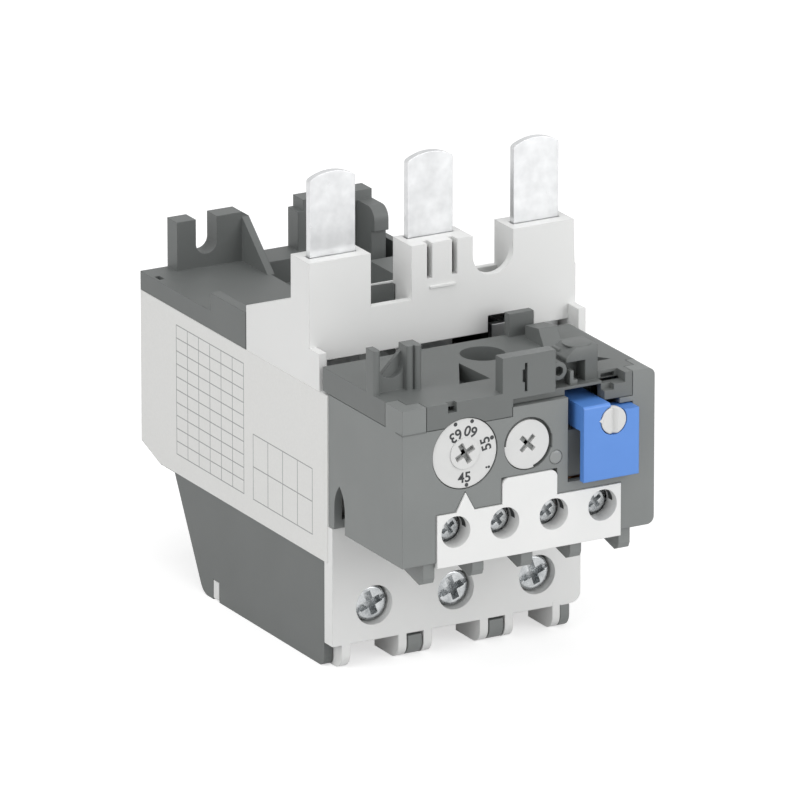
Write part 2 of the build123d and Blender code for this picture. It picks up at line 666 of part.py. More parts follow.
# Module body: open-backed shell with the front wall, fins, corner blocks and inner pins
with BuildPart() as module_body:
    inner = (left + module_wall, module_right - module_wall)
    brick((left, module_right), (module_front, module_rear), (module_bottom, cover_seam))
    brick(inner, (module_front + module_wall, module_rear + 1), (module_bottom + module_wall, cover_seam + 1),
          Mode.SUBTRACT)
    # thicker wall behind the seats of the two discs
    pad_rear = module_front + disc_recess + seat_floor
    brick((left + 1, window_x - 0.6), (module_front + 1, pad_rear), (aux_tab_top + seam, cover_seam))
    brick((left + 1, aux_tab_left - seam), (module_front + 1, pad_rear), (dial_z - dial_radius - 1.9, cover_seam))
    # brow above the discs and corner posts that rise beside the cover
    brick((brow_left, window_x), (module_front, module_front + module_wall), (cover_seam - 1, brow_z))
    for x in ((left, left + 2.8), (module_right - 2.8, module_right)):
        brick(x, (module_front, module_front + corner_block), (cover_seam - 1, cover_top))
    brick((left, corner_left), (module_front, module_front + corner_step), (cover_seam - 1, cover_top))
    brick((corner_right, module_right), (module_front, module_front + corner_step), (cover_seam - 1, cover_top))
    soften(module_body, Axis.Y, (module_right, module_front, cover_top), 1.5)
    soften(module_body, Axis.Y, (module_right, module_front, module_bottom), 1.6)
    # seats for the two discs and bores for their shafts
    rod(dial_x, dial_z, (module_front - 1, module_front + disc_recess), dial_radius + disc_gap, Mode.SUBTRACT)
    rod(dial_x, dial_z, (module_front - 1, pad_rear + 1), shaft_radius + running, Mode.SUBTRACT)
    rod(trim_x, trim_z, (module_front - 1, module_front + disc_recess), trim_flange + disc_gap, Mode.SUBTRACT)
    rod(trim_x, trim_z, (module_front - 1, pad_rear + 1), 2.0 + running, Mode.SUBTRACT)
    rod(lens_x, lens_z, (module_front - 1, pad_rear + 1), lens_radius, Mode.SUBTRACT)
    # window for the reset button, lower at the right of the selector
    selector_right = selector_x + selector_radius + stand_off
    outline(front(module_front + module_wall + 0.1),
            [(window_x, window_z), (corner_right, window_z), (corner_right, button_shoulder + stand_off),
             (selector_right, button_shoulder + stand_off), (selector_right, brow_z + 1),
             (window_x, brow_z + 1)], module_wall + 1, Mode.SUBTRACT)
    # opening for the auxiliary terminal plate, up through the front wall
    cut = seam
    outline(front(module_front + module_wall + 0.1),
            [(aux_left - cut, module_bottom - 1), (aux_right + cut, module_bottom - 1),
             (aux_right + cut, aux_top + cut), (aux_tab_right + cut, aux_top + cut),
             (aux_tab_right + cut, aux_tab_top + cut), (aux_tab_left - cut, aux_tab_top + cut),
             (aux_tab_left - cut, aux_top + cut), (dial_x + aux_pointer_half + cut, aux_top + cut),
             (dial_x, aux_pointer_z + 2 * cut), (dial_x - aux_pointer_half - cut, aux_top + cut),
             (aux_left - cut, aux_top + cut)], module_wall + 1, Mode.SUBTRACT)
    plate_rear = module_front - aux_proud + aux_plate + 0.5
    brick((aux_left - cut, aux_right + cut), (module_front - 1, plate_rear),
          (module_bottom - 1, module_bottom + module_wall + 0.1), Mode.SUBTRACT)
    # wire entries from below, one under each auxiliary screw
    for x in aux_x:
        brick((x - 4.2, x + 4.2), (plate_rear - 1, aux_bar_depth - 0.1),
              (module_bottom - 1, module_bottom + module_wall + 0.1), Mode.SUBTRACT)
    for x in fin_x:
        fin_top = aux_bottom - 0.25
        outline(side(x - fin_width / 2),
                [(fin_front, fin_top), (fin_front, fin_bottom + 1.6), (fin_front + 0.5, fin_bottom + 0.5),
                 (fin_front + 1.7, fin_bottom), (fin_rear, module_bottom + 0.1),
                 (fin_rear, module_bottom + module_wall), (plate_rear + 0.1, module_bottom + module_wall),
                 (plate_rear + 0.1, fin_top)], fin_width)
    # the outer two fins stand full height beside the plate
    for x in (fin_x[0], fin_x[4]):
        brick((x - fin_width / 2, x + fin_width / 2), (fin_front, plate_rear + 0.2),
              (fin_bottom + 2, module_bottom + module_wall))
    # arch in the left wall at the rear
    with BuildSketch(side(left - 0.5)) as arch:
        with BuildLine():
            Polyline((arch_rear, arch_top - 5), (arch_rear, module_bottom - 1),
                     (arch_front, module_bottom - 1), (arch_front, arch_top - 5))
            middle = (arch_front + arch_rear) / 2
            RadiusArc((arch_front, arch_top - 5), (middle, arch_top), 7)
            RadiusArc((middle, arch_top), (arch_rear, arch_top - 5), 7)
        make_face()
    extrude(arch.sketch, amount=module_wall + 1, mode=Mode.SUBTRACT)
    # slit beside the second disc
    brick((3.0, 3.6), (module_front - 1, module_front + 1), (50.9, 53.8), Mode.SUBTRACT)
    # pivot pins on the back of the front wall, and the wall that the reset spring pushes on
    pin_front = module_front + disc_recess + seat_floor / 2
    rod(setting_hinge[0], setting_hinge[1], (pin_front, setting_plate_rear + 0.6), pivot_radius)
    rod(trip_pivot[0], trip_pivot[1], (pin_front, arm_tip + lever_thickness + 0.6), pivot_radius)
    brick((window_x + 0.2, module_right - 1), (spring_wall_depth, spring_wall_depth + 1.4),
          (leaf_z + 4, cover_seam - 1))
save(module_body, "module_body")

# Module cover: top plate with skirt, posts, cup, block, latches and recesses
with BuildPart() as module_cover:
    skin = cover_seam + seam
    brick((left, module_right), (module_front, cover_rear), (skin, cover_top))
    pad_rear = module_front + disc_recess + seat_floor
    brick((left + module_wall, module_right - module_wall), (pad_rear, cover_rear - module_wall),
          (skin - 1, cover_top - cover_plate), Mode.SUBTRACT)
    # room for the corner posts and the brow of the body
    for x in ((left - 1, left + 2.8 + seam), (module_right - 2.8 - seam, module_right + 1)):
        brick(x, (module_front - 1, module_front + corner_block + seam), (skin - 1, cover_top + 1), Mode.SUBTRACT)
    brick((left - 1, corner_left + seam), (module_front - 1, module_front + corner_step + seam),
          (skin - 1, cover_top + 1), Mode.SUBTRACT)
    brick((corner_right - seam, module_right + 1), (module_front - 1, module_front + corner_step + seam),
          (skin - 1, cover_top + 1), Mode.SUBTRACT)
    brick((brow_left - seam, window_x + seam), (module_front - 1, module_front + module_wall + seam),
          (skin - 1, brow_z + seam), Mode.SUBTRACT)
    brick((window_x, arm_right_x + stand_off), (module_front - 1, pad_rear + seam),
          (skin - 1, cover_top - cover_plate - 0.4), Mode.SUBTRACT)
    # the front steps back under the block and over the reset button
    brick((brow_left, corner_right - 4.4), (module_front - 1, module_front + 1.4), (brow_z, cover_top - 0.3),
          Mode.SUBTRACT)
    rod(dial_x, dial_z, (module_front - 1, module_front + disc_recess), dial_radius + disc_gap, Mode.SUBTRACT)
    # deep cup and three-cornered pocket, each with its own walls and floor under the top
    for wall_out, low, high, mode in ((cup_wall, cup_floor - cup_wall, cover_top - 1, Mode.ADD),
                                      (0, cup_floor, cover_top + 1, Mode.SUBTRACT)):
        with BuildSketch(level(low)) as cup:
            with Locations((cup_x, cup_depth)):
                Circle(cup_radius + wall_out)
        extrude(cup.sketch, amount=high - low, mode=mode)
        with BuildSketch(level(low)) as pocket:
            with BuildLine():
                Polyline(*pocket_corners, close=True)
            make_face()
            if wall_out:
                offset(amount=wall_out, kind=Kind.INTERSECTION)
        extrude(pocket.sketch, amount=high - low, mode=mode)
    # shallow round mark near the right edge
    with BuildSketch(level(cover_top - 0.25)) as mark:
        with Locations((mark_x, mark_depth)):
            Circle(mark_radius)
    extrude(mark.sketch, amount=1, mode=Mode.SUBTRACT)
    # square hole for the test slide
    brick((-20.4, -18.4), (module_front - 1, pad_rear + 1.2), (62.0, cover_top + 1), Mode.SUBTRACT)
    # raised block over the step, with its slit
    brick((block_left, block_right), (module_front, module_front + block_depth), (cover_top - 1.5, block_z))
    brick((-2.8, -2.2), (module_front - 1, module_front + 1.5), (cover_top - 0.3, 69.7), Mode.SUBTRACT)
    brick((-3.3, -2.2), (module_front - 1, module_front + 1.5), (65.7, 68.4), Mode.SUBTRACT)
    # two fluted posts, with a round-bottomed notch in the web between them and a brace behind it
    web_left = post_left + post_width
    web_right = web_left + post_gap
    web_middle = (web_left + web_right) / 2
    brick((web_left - 0.5, web_right + 0.5), (post_depth, post_depth + 1.4), (cover_top - 1, notch_bottom + notch_reach))
    rod(web_middle, notch_bottom + notch_reach, (post_depth - 1, post_depth + 2), notch_reach, Mode.SUBTRACT)
    brick((post_left, web_left), (post_depth - 0.5, post_depth + 2.3), (cover_top - 1, post_z))
    brick((web_right, web_right + post_right_width), (post_depth - 0.9, post_depth + 2.3), (cover_top - 1, post_z))
    outline(front(post_depth + 2.3), [(web_right + 0.2, post_z - 1.2), (web_right + 0.2, cover_top - 0.5),
                                      (web_left + 0.8, cover_top - 0.5), (web_left + 0.8, notch_bottom)], 1)
    for x, set_forward in ((post_left + flute, 0.5), (web_right + flute, 0.7),
                           (web_right + post_right_width - flute, 1.1)):
        with BuildSketch(level(cover_top - 1)) as ridge:
            with Locations((x, post_depth - set_forward)):
                Circle(flute)
        extrude(ridge.sketch, amount=post_z - cover_top + 1)
    # latch posts at the rear
    brick((11.2, 16.9), (cover_rear - 1.9, cover_rear), (cover_top - 1, cover_top + 4.9))
    outline(side(14.0), [(-8.0, cover_top - 1), (0.4, cover_top - 1), (0.4, cover_top + 2.6),
                         (-5.0, cover_top + 3.4)], 4.4)
    # wall and stub beside the block
    brick((15.9, 17.2), (module_front + 1.6, -14.5), (cover_top - 1, 68.4))
    brick((8.6, 17.2), (-15.8, -14.5), (cover_top - 1, 68.4))
    rod(stub_x, stub_z, (stub_front, stub_rear), stub_radius)
    brick((stub_x - stub_radius, stub_x + stub_radius), (stub_front + 1.9, stub_rear), (cover_top - 1, stub_z))
    rod(stub_x, stub_z, (stub_front - 1, stub_front + 1.6), 0.9, Mode.SUBTRACT)
    fillet(module_cover.edges().filter_by(Axis.Y).sort_by_distance((module_right, y0, cover_top))[:1], 1.4)
save(module_cover, "module_cover")

# Auxiliary terminal plate with its tab, pointer and wells
with BuildPart() as aux_terminal_plate:
    face_depth = module_front - aux_proud
    outline(front(face_depth + aux_plate),
            [(aux_left, aux_bottom), (aux_right, aux_bottom), (aux_right, aux_top),
             (aux_tab_right, aux_top), (aux_tab_right, aux_tab_top), (aux_tab_left, aux_tab_top),
             (aux_tab_left, aux_top), (dial_x + aux_pointer_half, aux_top), (dial_x, aux_pointer_z),
             (dial_x - aux_pointer_half, aux_top), (aux_left, aux_top)], aux_plate)
    for x in (aux_tab_left, aux_tab_right):
        soften(aux_terminal_plate, Axis.Y, (x, face_depth, aux_tab_top), 1.5)
    for x in aux_x:
        rod(x, aux_screw_z, (face_depth - 1, face_depth + aux_plate + 1), aux_hole_radius, Mode.SUBTRACT)
    # room behind the pointer for the seat of the dial
    brick((aux_left, aux_tab_left - 1), (face_depth + 1.1, face_depth + aux_plate + 1),
          (dial_z - dial_radius - 2.05, aux_tab_top), Mode.SUBTRACT)
    for x in fin_x[1:4]:
        brick((x - fin_width / 2 - seam, x + fin_width / 2 + seam),
              (fin_front - seam, face_depth + aux_plate + 1), (aux_bottom - 1, aux_bottom), Mode.SUBTRACT)
save(aux_terminal_plate, "aux_terminal_plate")

# Auxiliary screws, saddles and fixed bars
for index, x in enumerate(aux_x):
    head = module_front - aux_proud + aux_head_depth
    with BuildPart() as aux_screw:
        rod(x, aux_screw_z, (head, head + aux_head), aux_head_radius)
        fillet(aux_screw.edges().group_by(Axis.Y)[0], 0.5)
        rod(x, aux_screw_z, (head + aux_head, aux_bar_depth + 2.3), aux_thread_radius)
        cross(x, aux_screw_z, (head - 0.1, head + 1.3), 1.6, 0.42, turn=35)
    save(aux_screw, f"aux_screw_{index + 1}")
    with BuildPart() as aux_clamp:
        half = saddle_size / 2
        near = head + aux_head + 0.1
        brick((x - half, x + half), (near, near + saddle_thickness), (aux_screw_z - 4.2, aux_screw_z + 3.6))
        rod(x, aux_screw_z, (near - 1, near + saddle_thickness + 1), aux_thread_radius + running,
            Mode.SUBTRACT)
    save(aux_clamp, f"aux_clamp_{index + 1}")

# Fixed auxiliary bars: plate behind the wire, tail to the contacts
for index, x in enumerate(aux_x):
    with BuildPart() as aux_bar:
        tail_rear = leaf_rear + 2.4
        brick((x - 3.6, x + 3.6), (aux_bar_depth, aux_bar_depth + aux_bar_thickness),
              (module_bottom + module_wall, aux_screw_z + 4))
        brick((x - 1.5, x + 1.5), (aux_bar_depth, tail_rear), (aux_screw_z + 2.8, aux_screw_z + 4))
        rod(x, aux_screw_z, (aux_bar_depth - 1, aux_bar_depth + 3), aux_thread_radius + running,
            Mode.SUBTRACT)
        if index in (0, 3):
            # rivet post that holds the root of a contact leaf
            brick((x - 1.5, x + 1.5), (leaf_front, leaf_rear), (aux_screw_z + 3.8, leaf_z - 0.05))
        elif index == 1:
            # fixed contact above the leaf, so the pair is closed at rest
            brick((x - 1.2, x + 1.2), (tail_rear - 1.2, tail_rear), (aux_screw_z + 3.8, leaf_z + 3))
            brick((x - 1.2, x + 1.2), (leaf_front + 0.4, tail_rear), (leaf_z + 1.8, leaf_z + 3))
            brick((x - 1, x + 1), (leaf_front + 0.5, leaf_rear - 0.4), (leaf_z + 0.6, leaf_z + 2))
        else:
            # fixed contact below the leaf, open at rest
            brick((x - 1, x + 1), (leaf_front + 0.5, leaf_rear - 0.4),
                  (aux_screw_z + 3.8, leaf_z - contact_drop))
    save(aux_bar, f"aux_bar_{index + 1}")

# Contact leaves
carrier_left = aux_x[1] + 2.2
carrier_right = aux_x[2] + 2.4
with BuildPart() as nc_contact_leaf:
    brick((aux_x[0] - leaf_half, carrier_left + 1.6), (leaf_front, leaf_rear), (leaf_z, leaf_z + leaf_thickness))
save(nc_contact_leaf, "nc_contact_leaf")
with BuildPart() as no_contact_leaf:
    brick((carrier_right - 3.8, aux_x[3] + leaf_half), (leaf_front, leaf_rear), (leaf_z, leaf_z + leaf_thickness))
save(no_contact_leaf, "no_contact_leaf")

# Contact carrier above the leaves, with an arm that carries the flag behind the lens
carrier_bottom = leaf_z + leaf_thickness + 1.1
carrier_top = carrier_bottom + 1.8
flag_bottom = aux_tab_top + flag_drop_gap
arm_front = module_front - aux_proud + aux_plate + 1.6
with BuildPart() as contact_carrier:
    brick((carrier_left, carrier_right), (leaf_front - 0.2, arm_tip + lever_thickness), (carrier_bottom, carrier_top))
    for x in (carrier_left, carrier_right - 1.4):
        brick((x, x + 1.4), (leaf_front, leaf_rear), (leaf_z + leaf_thickness + 0.15, carrier_bottom + 0.2))
    brick((lens_x - 0.8, lens_x + 0.8), (arm_front, leaf_front + 1), (carrier_bottom + 0.3, carrier_top - 0.3))
    brick((lens_x - 0.8, lens_x + 0.8), (arm_front, arm_front + 1.2), (carrier_bottom + 0.3, flag_bottom))
save(contact_carrier, "contact_carrier")
with BuildPart() as trip_flag:
    flag_front = module_front + disc_recess + seat_floor + stand_off
    brick((lens_x - 1.3, lens_x + 1.3), (flag_front, flag_front + 0.7), (flag_bottom, lens_z + 2.8))
    brick((lens_x - 1.3, lens_x + 1.3), (flag_front, arm_front + 1.2), (flag_bottom, flag_bottom + 1))
save(trip_flag, "trip_flag")

# Trip lever, a rocker on a pin of the module body
lever_foot = carrier_top + 0.1
with BuildPart() as trip_lever:
    with BuildSketch(front(arm_tip + lever_thickness)) as rocker:
        with BuildLine():
            Polyline((trip_left, 57.6), (trip_left, 55.4), (trip_pivot[0] - 2.2, trip_pivot[1] - 0.5),
                     (trip_pivot[0], trip_pivot[1] - 2.4), (1.6, lever_foot), (3.0, lever_foot),
                     (3.0, lever_foot + 1.4), (trip_pivot[0] + 2.4, trip_pivot[1] + 1),
                     (trip_left + 1.6, 57.6), close=True)
        make_face()
        with Locations(trip_pivot):
            Circle(2.4)
            Circle(pivot_radius + running, mode=Mode.SUBTRACT)
    extrude(rocker.sketch, amount=lever_thickness)
save(trip_lever, "trip_lever")

# Setting lever: plate on its pin, follower at the cam, pin for the compensation lever
with BuildPart() as setting_lever:
    with BuildSketch(front(setting_plate_rear)) as plate:
        with BuildLine():
            CenterArc(setting_hinge, 2.4, 0, 360)
            CenterArc(swing_pin, 2.0, 0, 360)
        make_hull()
        with Locations(setting_hinge):
            Circle(pivot_radius + running, mode=Mode.SUBTRACT)
    extrude(plate.sketch, amount=setting_plate)
    reach = dial_x - cam_radius - follower_gap
    brick((reach - 1.4, reach), (cam_front + 0.4, setting_plate_rear - 0.4), (dial_z - 0.7, dial_z + 0.7))
    rod(swing_pin[0], swing_pin[1], (setting_plate_rear - 0.4, arm_tip + lever_thickness), 1.0)
save(setting_lever, "setting_lever")

# Compensation lever on the pin of the setting lever
with BuildPart() as compensation_lever:
    brick((-15.5, -14.3), (arm_tip, arm_tip + lever_thickness), (44.4, 57.2))
    rod(swing_pin[0], swing_pin[1], (arm_tip, arm_tip + lever_thickness), 1.9)
    rod(swing_pin[0], swing_pin[1], (arm_tip - 1, arm_tip + 4), 1.0 + running, Mode.SUBTRACT)
save(compensation_lever, "compensation_lever")

# Setting dial with hub, cross recess and shaft, and the cam on its shaft
disc_front = module_front + 0.25
with BuildPart() as setting_dial:
    rod(dial_x, dial_z, (disc_front, disc_front + disc_thickness), dial_radius)
    rod(dial_x, dial_z, (disc_front - 0.25, disc_front + disc_thickness), dial_hub)
    rod(dial_x, dial_z, (disc_front + disc_thickness, cam_front + cam_thickness + 0.2), shaft_radius)
    cross(dial_x, dial_z, (disc_front - 1, disc_front + 1.1), 2.3, 0.6, turn=28)
save(setting_dial, "setting_dial")
with BuildPart() as setting_cam:
    # radius falls evenly over the sweep of the dial, starting at the follower on the left
    with BuildSketch(front(cam_front + cam_thickness)) as profile:
        with BuildLine():
            rim = []
            steps = 7
            for step in range(steps + 1):
                radius = cam_radius - cam_lift * step / steps
                rim.append(Vector(radius, 0).rotate(Axis.Z, 180 + cam_sweep * step / steps))
            for step in range(1, 4):
                radius = cam_radius - cam_lift * (1 - step / 4)
                rim.append(Vector(radius, 0).rotate(Axis.Z, 180 + cam_sweep + (360 - cam_sweep) * step / 4))
            Spline(*[point + Vector(dial_x, dial_z) for point in rim], periodic=True)
        make_face()
    extrude(profile.sketch, amount=cam_thickness)
    rod(dial_x, dial_z, (cam_front - 1, cam_front + cam_thickness + 1), shaft_radius, Mode.SUBTRACT)
save(setting_cam, "setting_cam")

# Second disc: round head over a wider lower flange
with BuildPart() as trim_disc:
    rod(trim_x, trim_z, (disc_front, disc_front + disc_thickness), trim_radius)
    with BuildSketch(front(disc_front + disc_thickness)) as flange:
        with BuildLine():
            start = (trim_x - trim_flange, trim_z)
            end = (trim_x + trim_flange * 0.26, trim_z - trim_flange * 0.9656)
            RadiusArc(start, end, -trim_flange)
            Polyline(end, (trim_x, trim_z), start)
        make_face()
    extrude(flange.sketch, amount=disc_thickness)
    rod(trim_x, trim_z, (disc_front + disc_thickness, module_front + module_wall + 3), 2.0)
    cross(trim_x, trim_z, (disc_front - 1, disc_front + 0.9), 2.1, 0.5, turn=45)
save(trim_disc, "trim_disc")

# Lens in its bore
with BuildPart() as indicator_lens:
    rod(lens_x, lens_z, (module_front - 0.2, module_front + module_wall), lens_radius)
    fillet(indicator_lens.edges().group_by(Axis.Y)[0], 0.5)
save(indicator_lens, "indicator_lens")

# Reset button: front plate, arm over its upper left, stem back to the spring
plate_front = module_front - button_proud
with BuildPart() as reset_button:
    outline(front(plate_front + button_plate),
            [(button_left, button_bottom), (button_right, button_bottom), (button_right, button_shoulder),
             (arm_right_x, button_shoulder), (arm_right_x, button_top), (button_left, button_top)],
            button_plate)
    brick((button_left, arm_right_x), (plate_front, -20), (arm_bottom, button_top))
    brick((arm_right_x - 1, button_right), (plate_front, plate_front + 5), (arm_bottom, button_shoulder))
    soften(reset_button, Axis.X, (button_left, plate_front, button_top), 0.6)
    brick((button_left + 1, arm_right_x - 1), (-20.5, stem_rear), (arm_bottom, button_top - 1))
    rod(selector_x, selector_z, (plate_front - 1, plate_front + 1.2), selector_radius + 0.2, Mode.SUBTRACT)
    rod(selector_x, selector_z, (plate_front - 1, plate_front + 4), 1.5 + running, Mode.SUBTRACT)
    # blind seat for the spring
    spring_x = (button_left + arm_right_x) / 2
    spring_z = (arm_bottom + button_top - 1) / 2
save(reset_button, "reset_button")
with BuildPart() as reset_selector:
    rod(selector_x, selector_z, (plate_front - selector_proud, plate_front + 1), selector_radius)
    brick((selector_x - selector_radius - 0.15, selector_x), (plate_front - selector_proud, plate_front),
          (selector_z - 0.4, selector_z + 0.4))
    rod(selector_x, selector_z, (plate_front + 1, plate_front + 3.8), 1.5)
    brick((selector_x - 0.35, selector_x + 0.35), (plate_front - 1, plate_front + 0.7),
          (selector_z - 4, selector_z + 4), Mode.SUBTRACT)
save(reset_selector, "reset_selector")

# Reset spring between the stem and the wall behind it
with BuildPart() as reset_spring:
    length = spring_wall_depth - stem_rear - 2 * spring_wire - 0.2
    start = (spring_x, y0 + stem_rear + spring_wire + 0.1, spring_z)
    with BuildLine() as coil:
        Helix(pitch=length / spring_turns, height=length, radius=spring_radius, center=start,
              direction=(0, 1, 0))
    with BuildSketch(Plane(coil.line @ 0, z_dir=coil.line % 0)) as wire:
        Circle(spring_wire)
    sweep(wire.sketch, path=coil.line)
save(reset_spring, "reset_spring")

# Test slide under the cover
with BuildPart() as test_slider:
    brick((-20.3, -18.6), (module_front + disc_recess + seat_floor + stand_off, -3.9),
          (60.6, cover_top - cover_plate - 0.1))
    brick((-19.2, -18.0), (-6.4, -3.9), (55.6, 61.0))
save(test_slider, "test_slider")
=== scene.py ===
import bpy
import bmesh
import math
from mathutils import Vector, Matrix


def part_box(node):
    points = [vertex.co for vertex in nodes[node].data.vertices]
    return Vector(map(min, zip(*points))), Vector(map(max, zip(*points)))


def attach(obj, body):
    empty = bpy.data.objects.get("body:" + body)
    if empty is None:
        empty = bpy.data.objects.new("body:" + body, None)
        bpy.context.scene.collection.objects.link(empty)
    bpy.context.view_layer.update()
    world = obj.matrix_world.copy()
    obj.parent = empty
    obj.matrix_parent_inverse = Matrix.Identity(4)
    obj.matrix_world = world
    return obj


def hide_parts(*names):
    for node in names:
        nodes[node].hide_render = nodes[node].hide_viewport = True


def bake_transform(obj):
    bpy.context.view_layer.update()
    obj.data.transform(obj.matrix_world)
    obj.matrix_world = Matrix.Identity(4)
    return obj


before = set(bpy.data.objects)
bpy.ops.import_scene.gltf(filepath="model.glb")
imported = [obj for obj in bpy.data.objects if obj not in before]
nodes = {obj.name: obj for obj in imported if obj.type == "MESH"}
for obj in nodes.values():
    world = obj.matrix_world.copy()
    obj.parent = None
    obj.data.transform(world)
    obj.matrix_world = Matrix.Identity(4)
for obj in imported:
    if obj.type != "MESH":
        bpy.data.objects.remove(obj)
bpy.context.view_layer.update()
mm = 0.001
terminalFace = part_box("terminal_shroud")[0].y  # plane of the load terminals, where depths start
print("frame loaded,", len(nodes), "pieces")


def toLinear(code):
    # sRGB hex to linear, as the shader sockets take it
    channels = [int(code[i:i + 2], 16) / 255 for i in (1, 3, 5)]
    return [c / 12.92 if c <= 0.04045 else ((c + 0.055) / 1.055) ** 2.4 for c in channels] + [1]


def addNode(tree, kind, settings=None, links=None):
    # settings go to attributes or input sockets, links to input sockets
    made = tree.nodes.new(kind)
    for key, value in (settings or {}).items():
        if isinstance(key, str) and hasattr(made, key):
            setattr(made, key, value)
        else:
            made.inputs[key].default_value = value
    for key, source in (links or {}).items():
        tree.links.new(source, made.inputs[key])
    return made


def newMaterial(name):
    material = bpy.data.materials.new(name)
    material.use_nodes = True
    tree = material.node_tree
    tree.nodes.clear()
    return material, tree


def finishMaterial(tree, shader):
    out = addNode(tree, "ShaderNodeOutputMaterial")
    tree.links.new(shader, out.inputs["Surface"])


def mathNode(tree, operation, *values):
    # each value is a number or an output socket
    made = addNode(tree, "ShaderNodeMath", {"operation": operation})
    for socket, value in zip(made.inputs, values):
        if isinstance(value, (int, float)):
            socket.default_value = value
        else:
            tree.links.new(value, socket)
    return made.outputs[0]


def noiseNode(tree, place, size, detail=2.0, roughness=0.5):
    # noise with cells of about the given size in mm
    noise = addNode(tree, "ShaderNodeTexNoise",
                    {"Scale": 1 / (size * mm), "Detail": detail, "Roughness": roughness}, {"Vector": place})
    return noise.outputs["Fac"]


def toneNode(tree, look, factor):
    # from the darker to the lighter tone of a finish
    mix = addNode(tree, "ShaderNodeMix",
                  {"data_type": "RGBA", 6: toLinear(look["shade"]), 7: toLinear(look["tint"])}, {0: factor})
    return mix.outputs[2]


def reliefNode(tree, look, height, distance):
    # relief on the surface, and edges eased where the finish names a radius
    links = {"Height": height}
    if "edge" in look:
        eased = addNode(tree, "ShaderNodeBevel", {"samples": 4, "Radius": look["edge"] * mm})
        links["Normal"] = eased.outputs["Normal"]
    bump = addNode(tree, "ShaderNodeBump", {"Strength": look["relief"], "Distance": distance * mm}, links)
    return bump.outputs["Normal"]


def mouldedPlastic(name, look):
    # spark-eroded moulding: a fine even grain, a slow drift in tone from flow, edges eased by the tool
    material, tree = newMaterial(name)
    place = addNode(tree, "ShaderNodeTexCoord").outputs["Object"]
    grain = noiseNode(tree, place, look["grain"], 2.0, 0.6)
    drift = noiseNode(tree, place, look["drift"], 3.0)
    shader = addNode(tree, "ShaderNodeBsdfPrincipled",
                     {"Roughness": look["roughness"], "IOR": look["ior"], "Metallic": 0.0},
                     {"Base Color": toneNode(tree, look, drift),
                      "Normal": reliefNode(tree, look, grain, 0.05)})
    finishMaterial(tree, shader.outputs["BSDF"])
    return material


def platedMetal(name, look):
    # plated part: fine draw lines along the rolling direction, and a soft mirror under them
    material, tree = newMaterial(name)
    place = addNode(tree, "ShaderNodeTexCoord").outputs["Object"]
    stretch = addNode(tree, "ShaderNodeMapping", {"Scale": look["lines"]}, {"Vector": place})
    lines = noiseNode(tree, stretch.outputs["Vector"], look["pitch"])
    drift = noiseNode(tree, place, look["drift"])
    haze = addNode(tree, "ShaderNodeMapRange",
                   {"To Min": look["roughness"] - 0.06, "To Max": look["roughness"] + 0.08}, {"Value": lines})
    shader = addNode(tree, "ShaderNodeBsdfPrincipled", {"Metallic": 1.0},
                     {"Base Color": toneNode(tree, look, drift), "Roughness": haze.outputs["Result"],
                      "Normal": reliefNode(tree, look, lines, 0.02)})
    finishMaterial(tree, shader.outputs["BSDF"])
    return material


# Housing, module and cover are glass-filled polyamide, matt from the spark-eroded tool
housingNylon = mouldedPlastic("housingNylonMoulded", {
    "shade": "#5F6261", "tint": "#696C6B", "grain": 0.35, "drift": 14, "relief": 0.35, "roughness": 0.55,
    "ior": 1.53, "edge": 0.25})
moduleNylon = mouldedPlastic("moduleNylonMoulded", {
    "shade": "#757877", "tint": "#7F8281", "grain": 0.35, "drift": 12, "relief": 0.3, "roughness": 0.5,
    "ior": 1.53, "edge": 0.2})
coverNylon = mouldedPlastic("coverNylonMoulded", {
    "shade": "#5E6160", "tint": "#686B6A", "grain": 0.35, "drift": 12, "relief": 0.3, "roughness": 0.5,
    "ior": 1.53, "edge": 0.2})
# Shroud and small plate are polycarbonate, a little smoother than the housing
shroudPolycarbonate = mouldedPlastic("shroudPolycarbonateMoulded", {
    "shade": "#DFE0DF", "tint": "#E7E7E6", "grain": 0.3, "drift": 18, "relief": 0.15, "roughness": 0.45,
    "ior": 1.585, "edge": 0.22})
platePolycarbonate = mouldedPlastic("platePolycarbonateMoulded", {
    "shade": "#E1E2E1", "tint": "#E8E8E7", "grain": 0.3, "drift": 10, "relief": 0.15, "roughness": 0.42,
    "ior": 1.585, "edge": 0.15})
# Discs and inner levers are acetal, slightly waxy
discAcetal = mouldedPlastic("discAcetalMoulded", {
    "shade": "#CFD0CF", "tint": "#DADAD9", "grain": 0.25, "drift": 6, "relief": 0.1, "roughness": 0.38,
    "ior": 1.48, "edge": 0.15})
# painted shade: darker grey acetal laid at the bottom of the driver recesses, where shade falls
paintedRecessShade = mouldedPlastic("recessShadeAcetalPainted", {
    "shade": "#8B8D8C", "tint": "#9C9E9D", "grain": 0.25, "drift": 3, "relief": 0.1, "roughness": 0.5,
    "ior": 1.48, "edge": 0.02})
# painted shade: near-black sheet standing for the shade inside the small screw wells
paintedShadeNylon = mouldedPlastic("paintedShadeNylonMoulded", {
    "shade": "#2C2E2D", "tint": "#3A3C3B", "grain": 0.3, "drift": 3, "relief": 0.1, "roughness": 0.6,
    "ior": 1.5, "edge": 0.02})
leverAcetal = mouldedPlastic("leverAcetalMoulded", {
    "shade": "#CFCABB", "tint": "#DAD5C7", "grain": 0.3, "drift": 8, "relief": 0.1, "roughness": 0.4,
    "ior": 1.48, "edge": 0.15})
leverNylon = mouldedPlastic("leverNylonMoulded", {
    "shade": "#35373A", "tint": "#3E4043", "grain": 0.3, "drift": 8, "relief": 0.2, "roughness": 0.5,
    "ior": 1.53, "edge": 0.15})
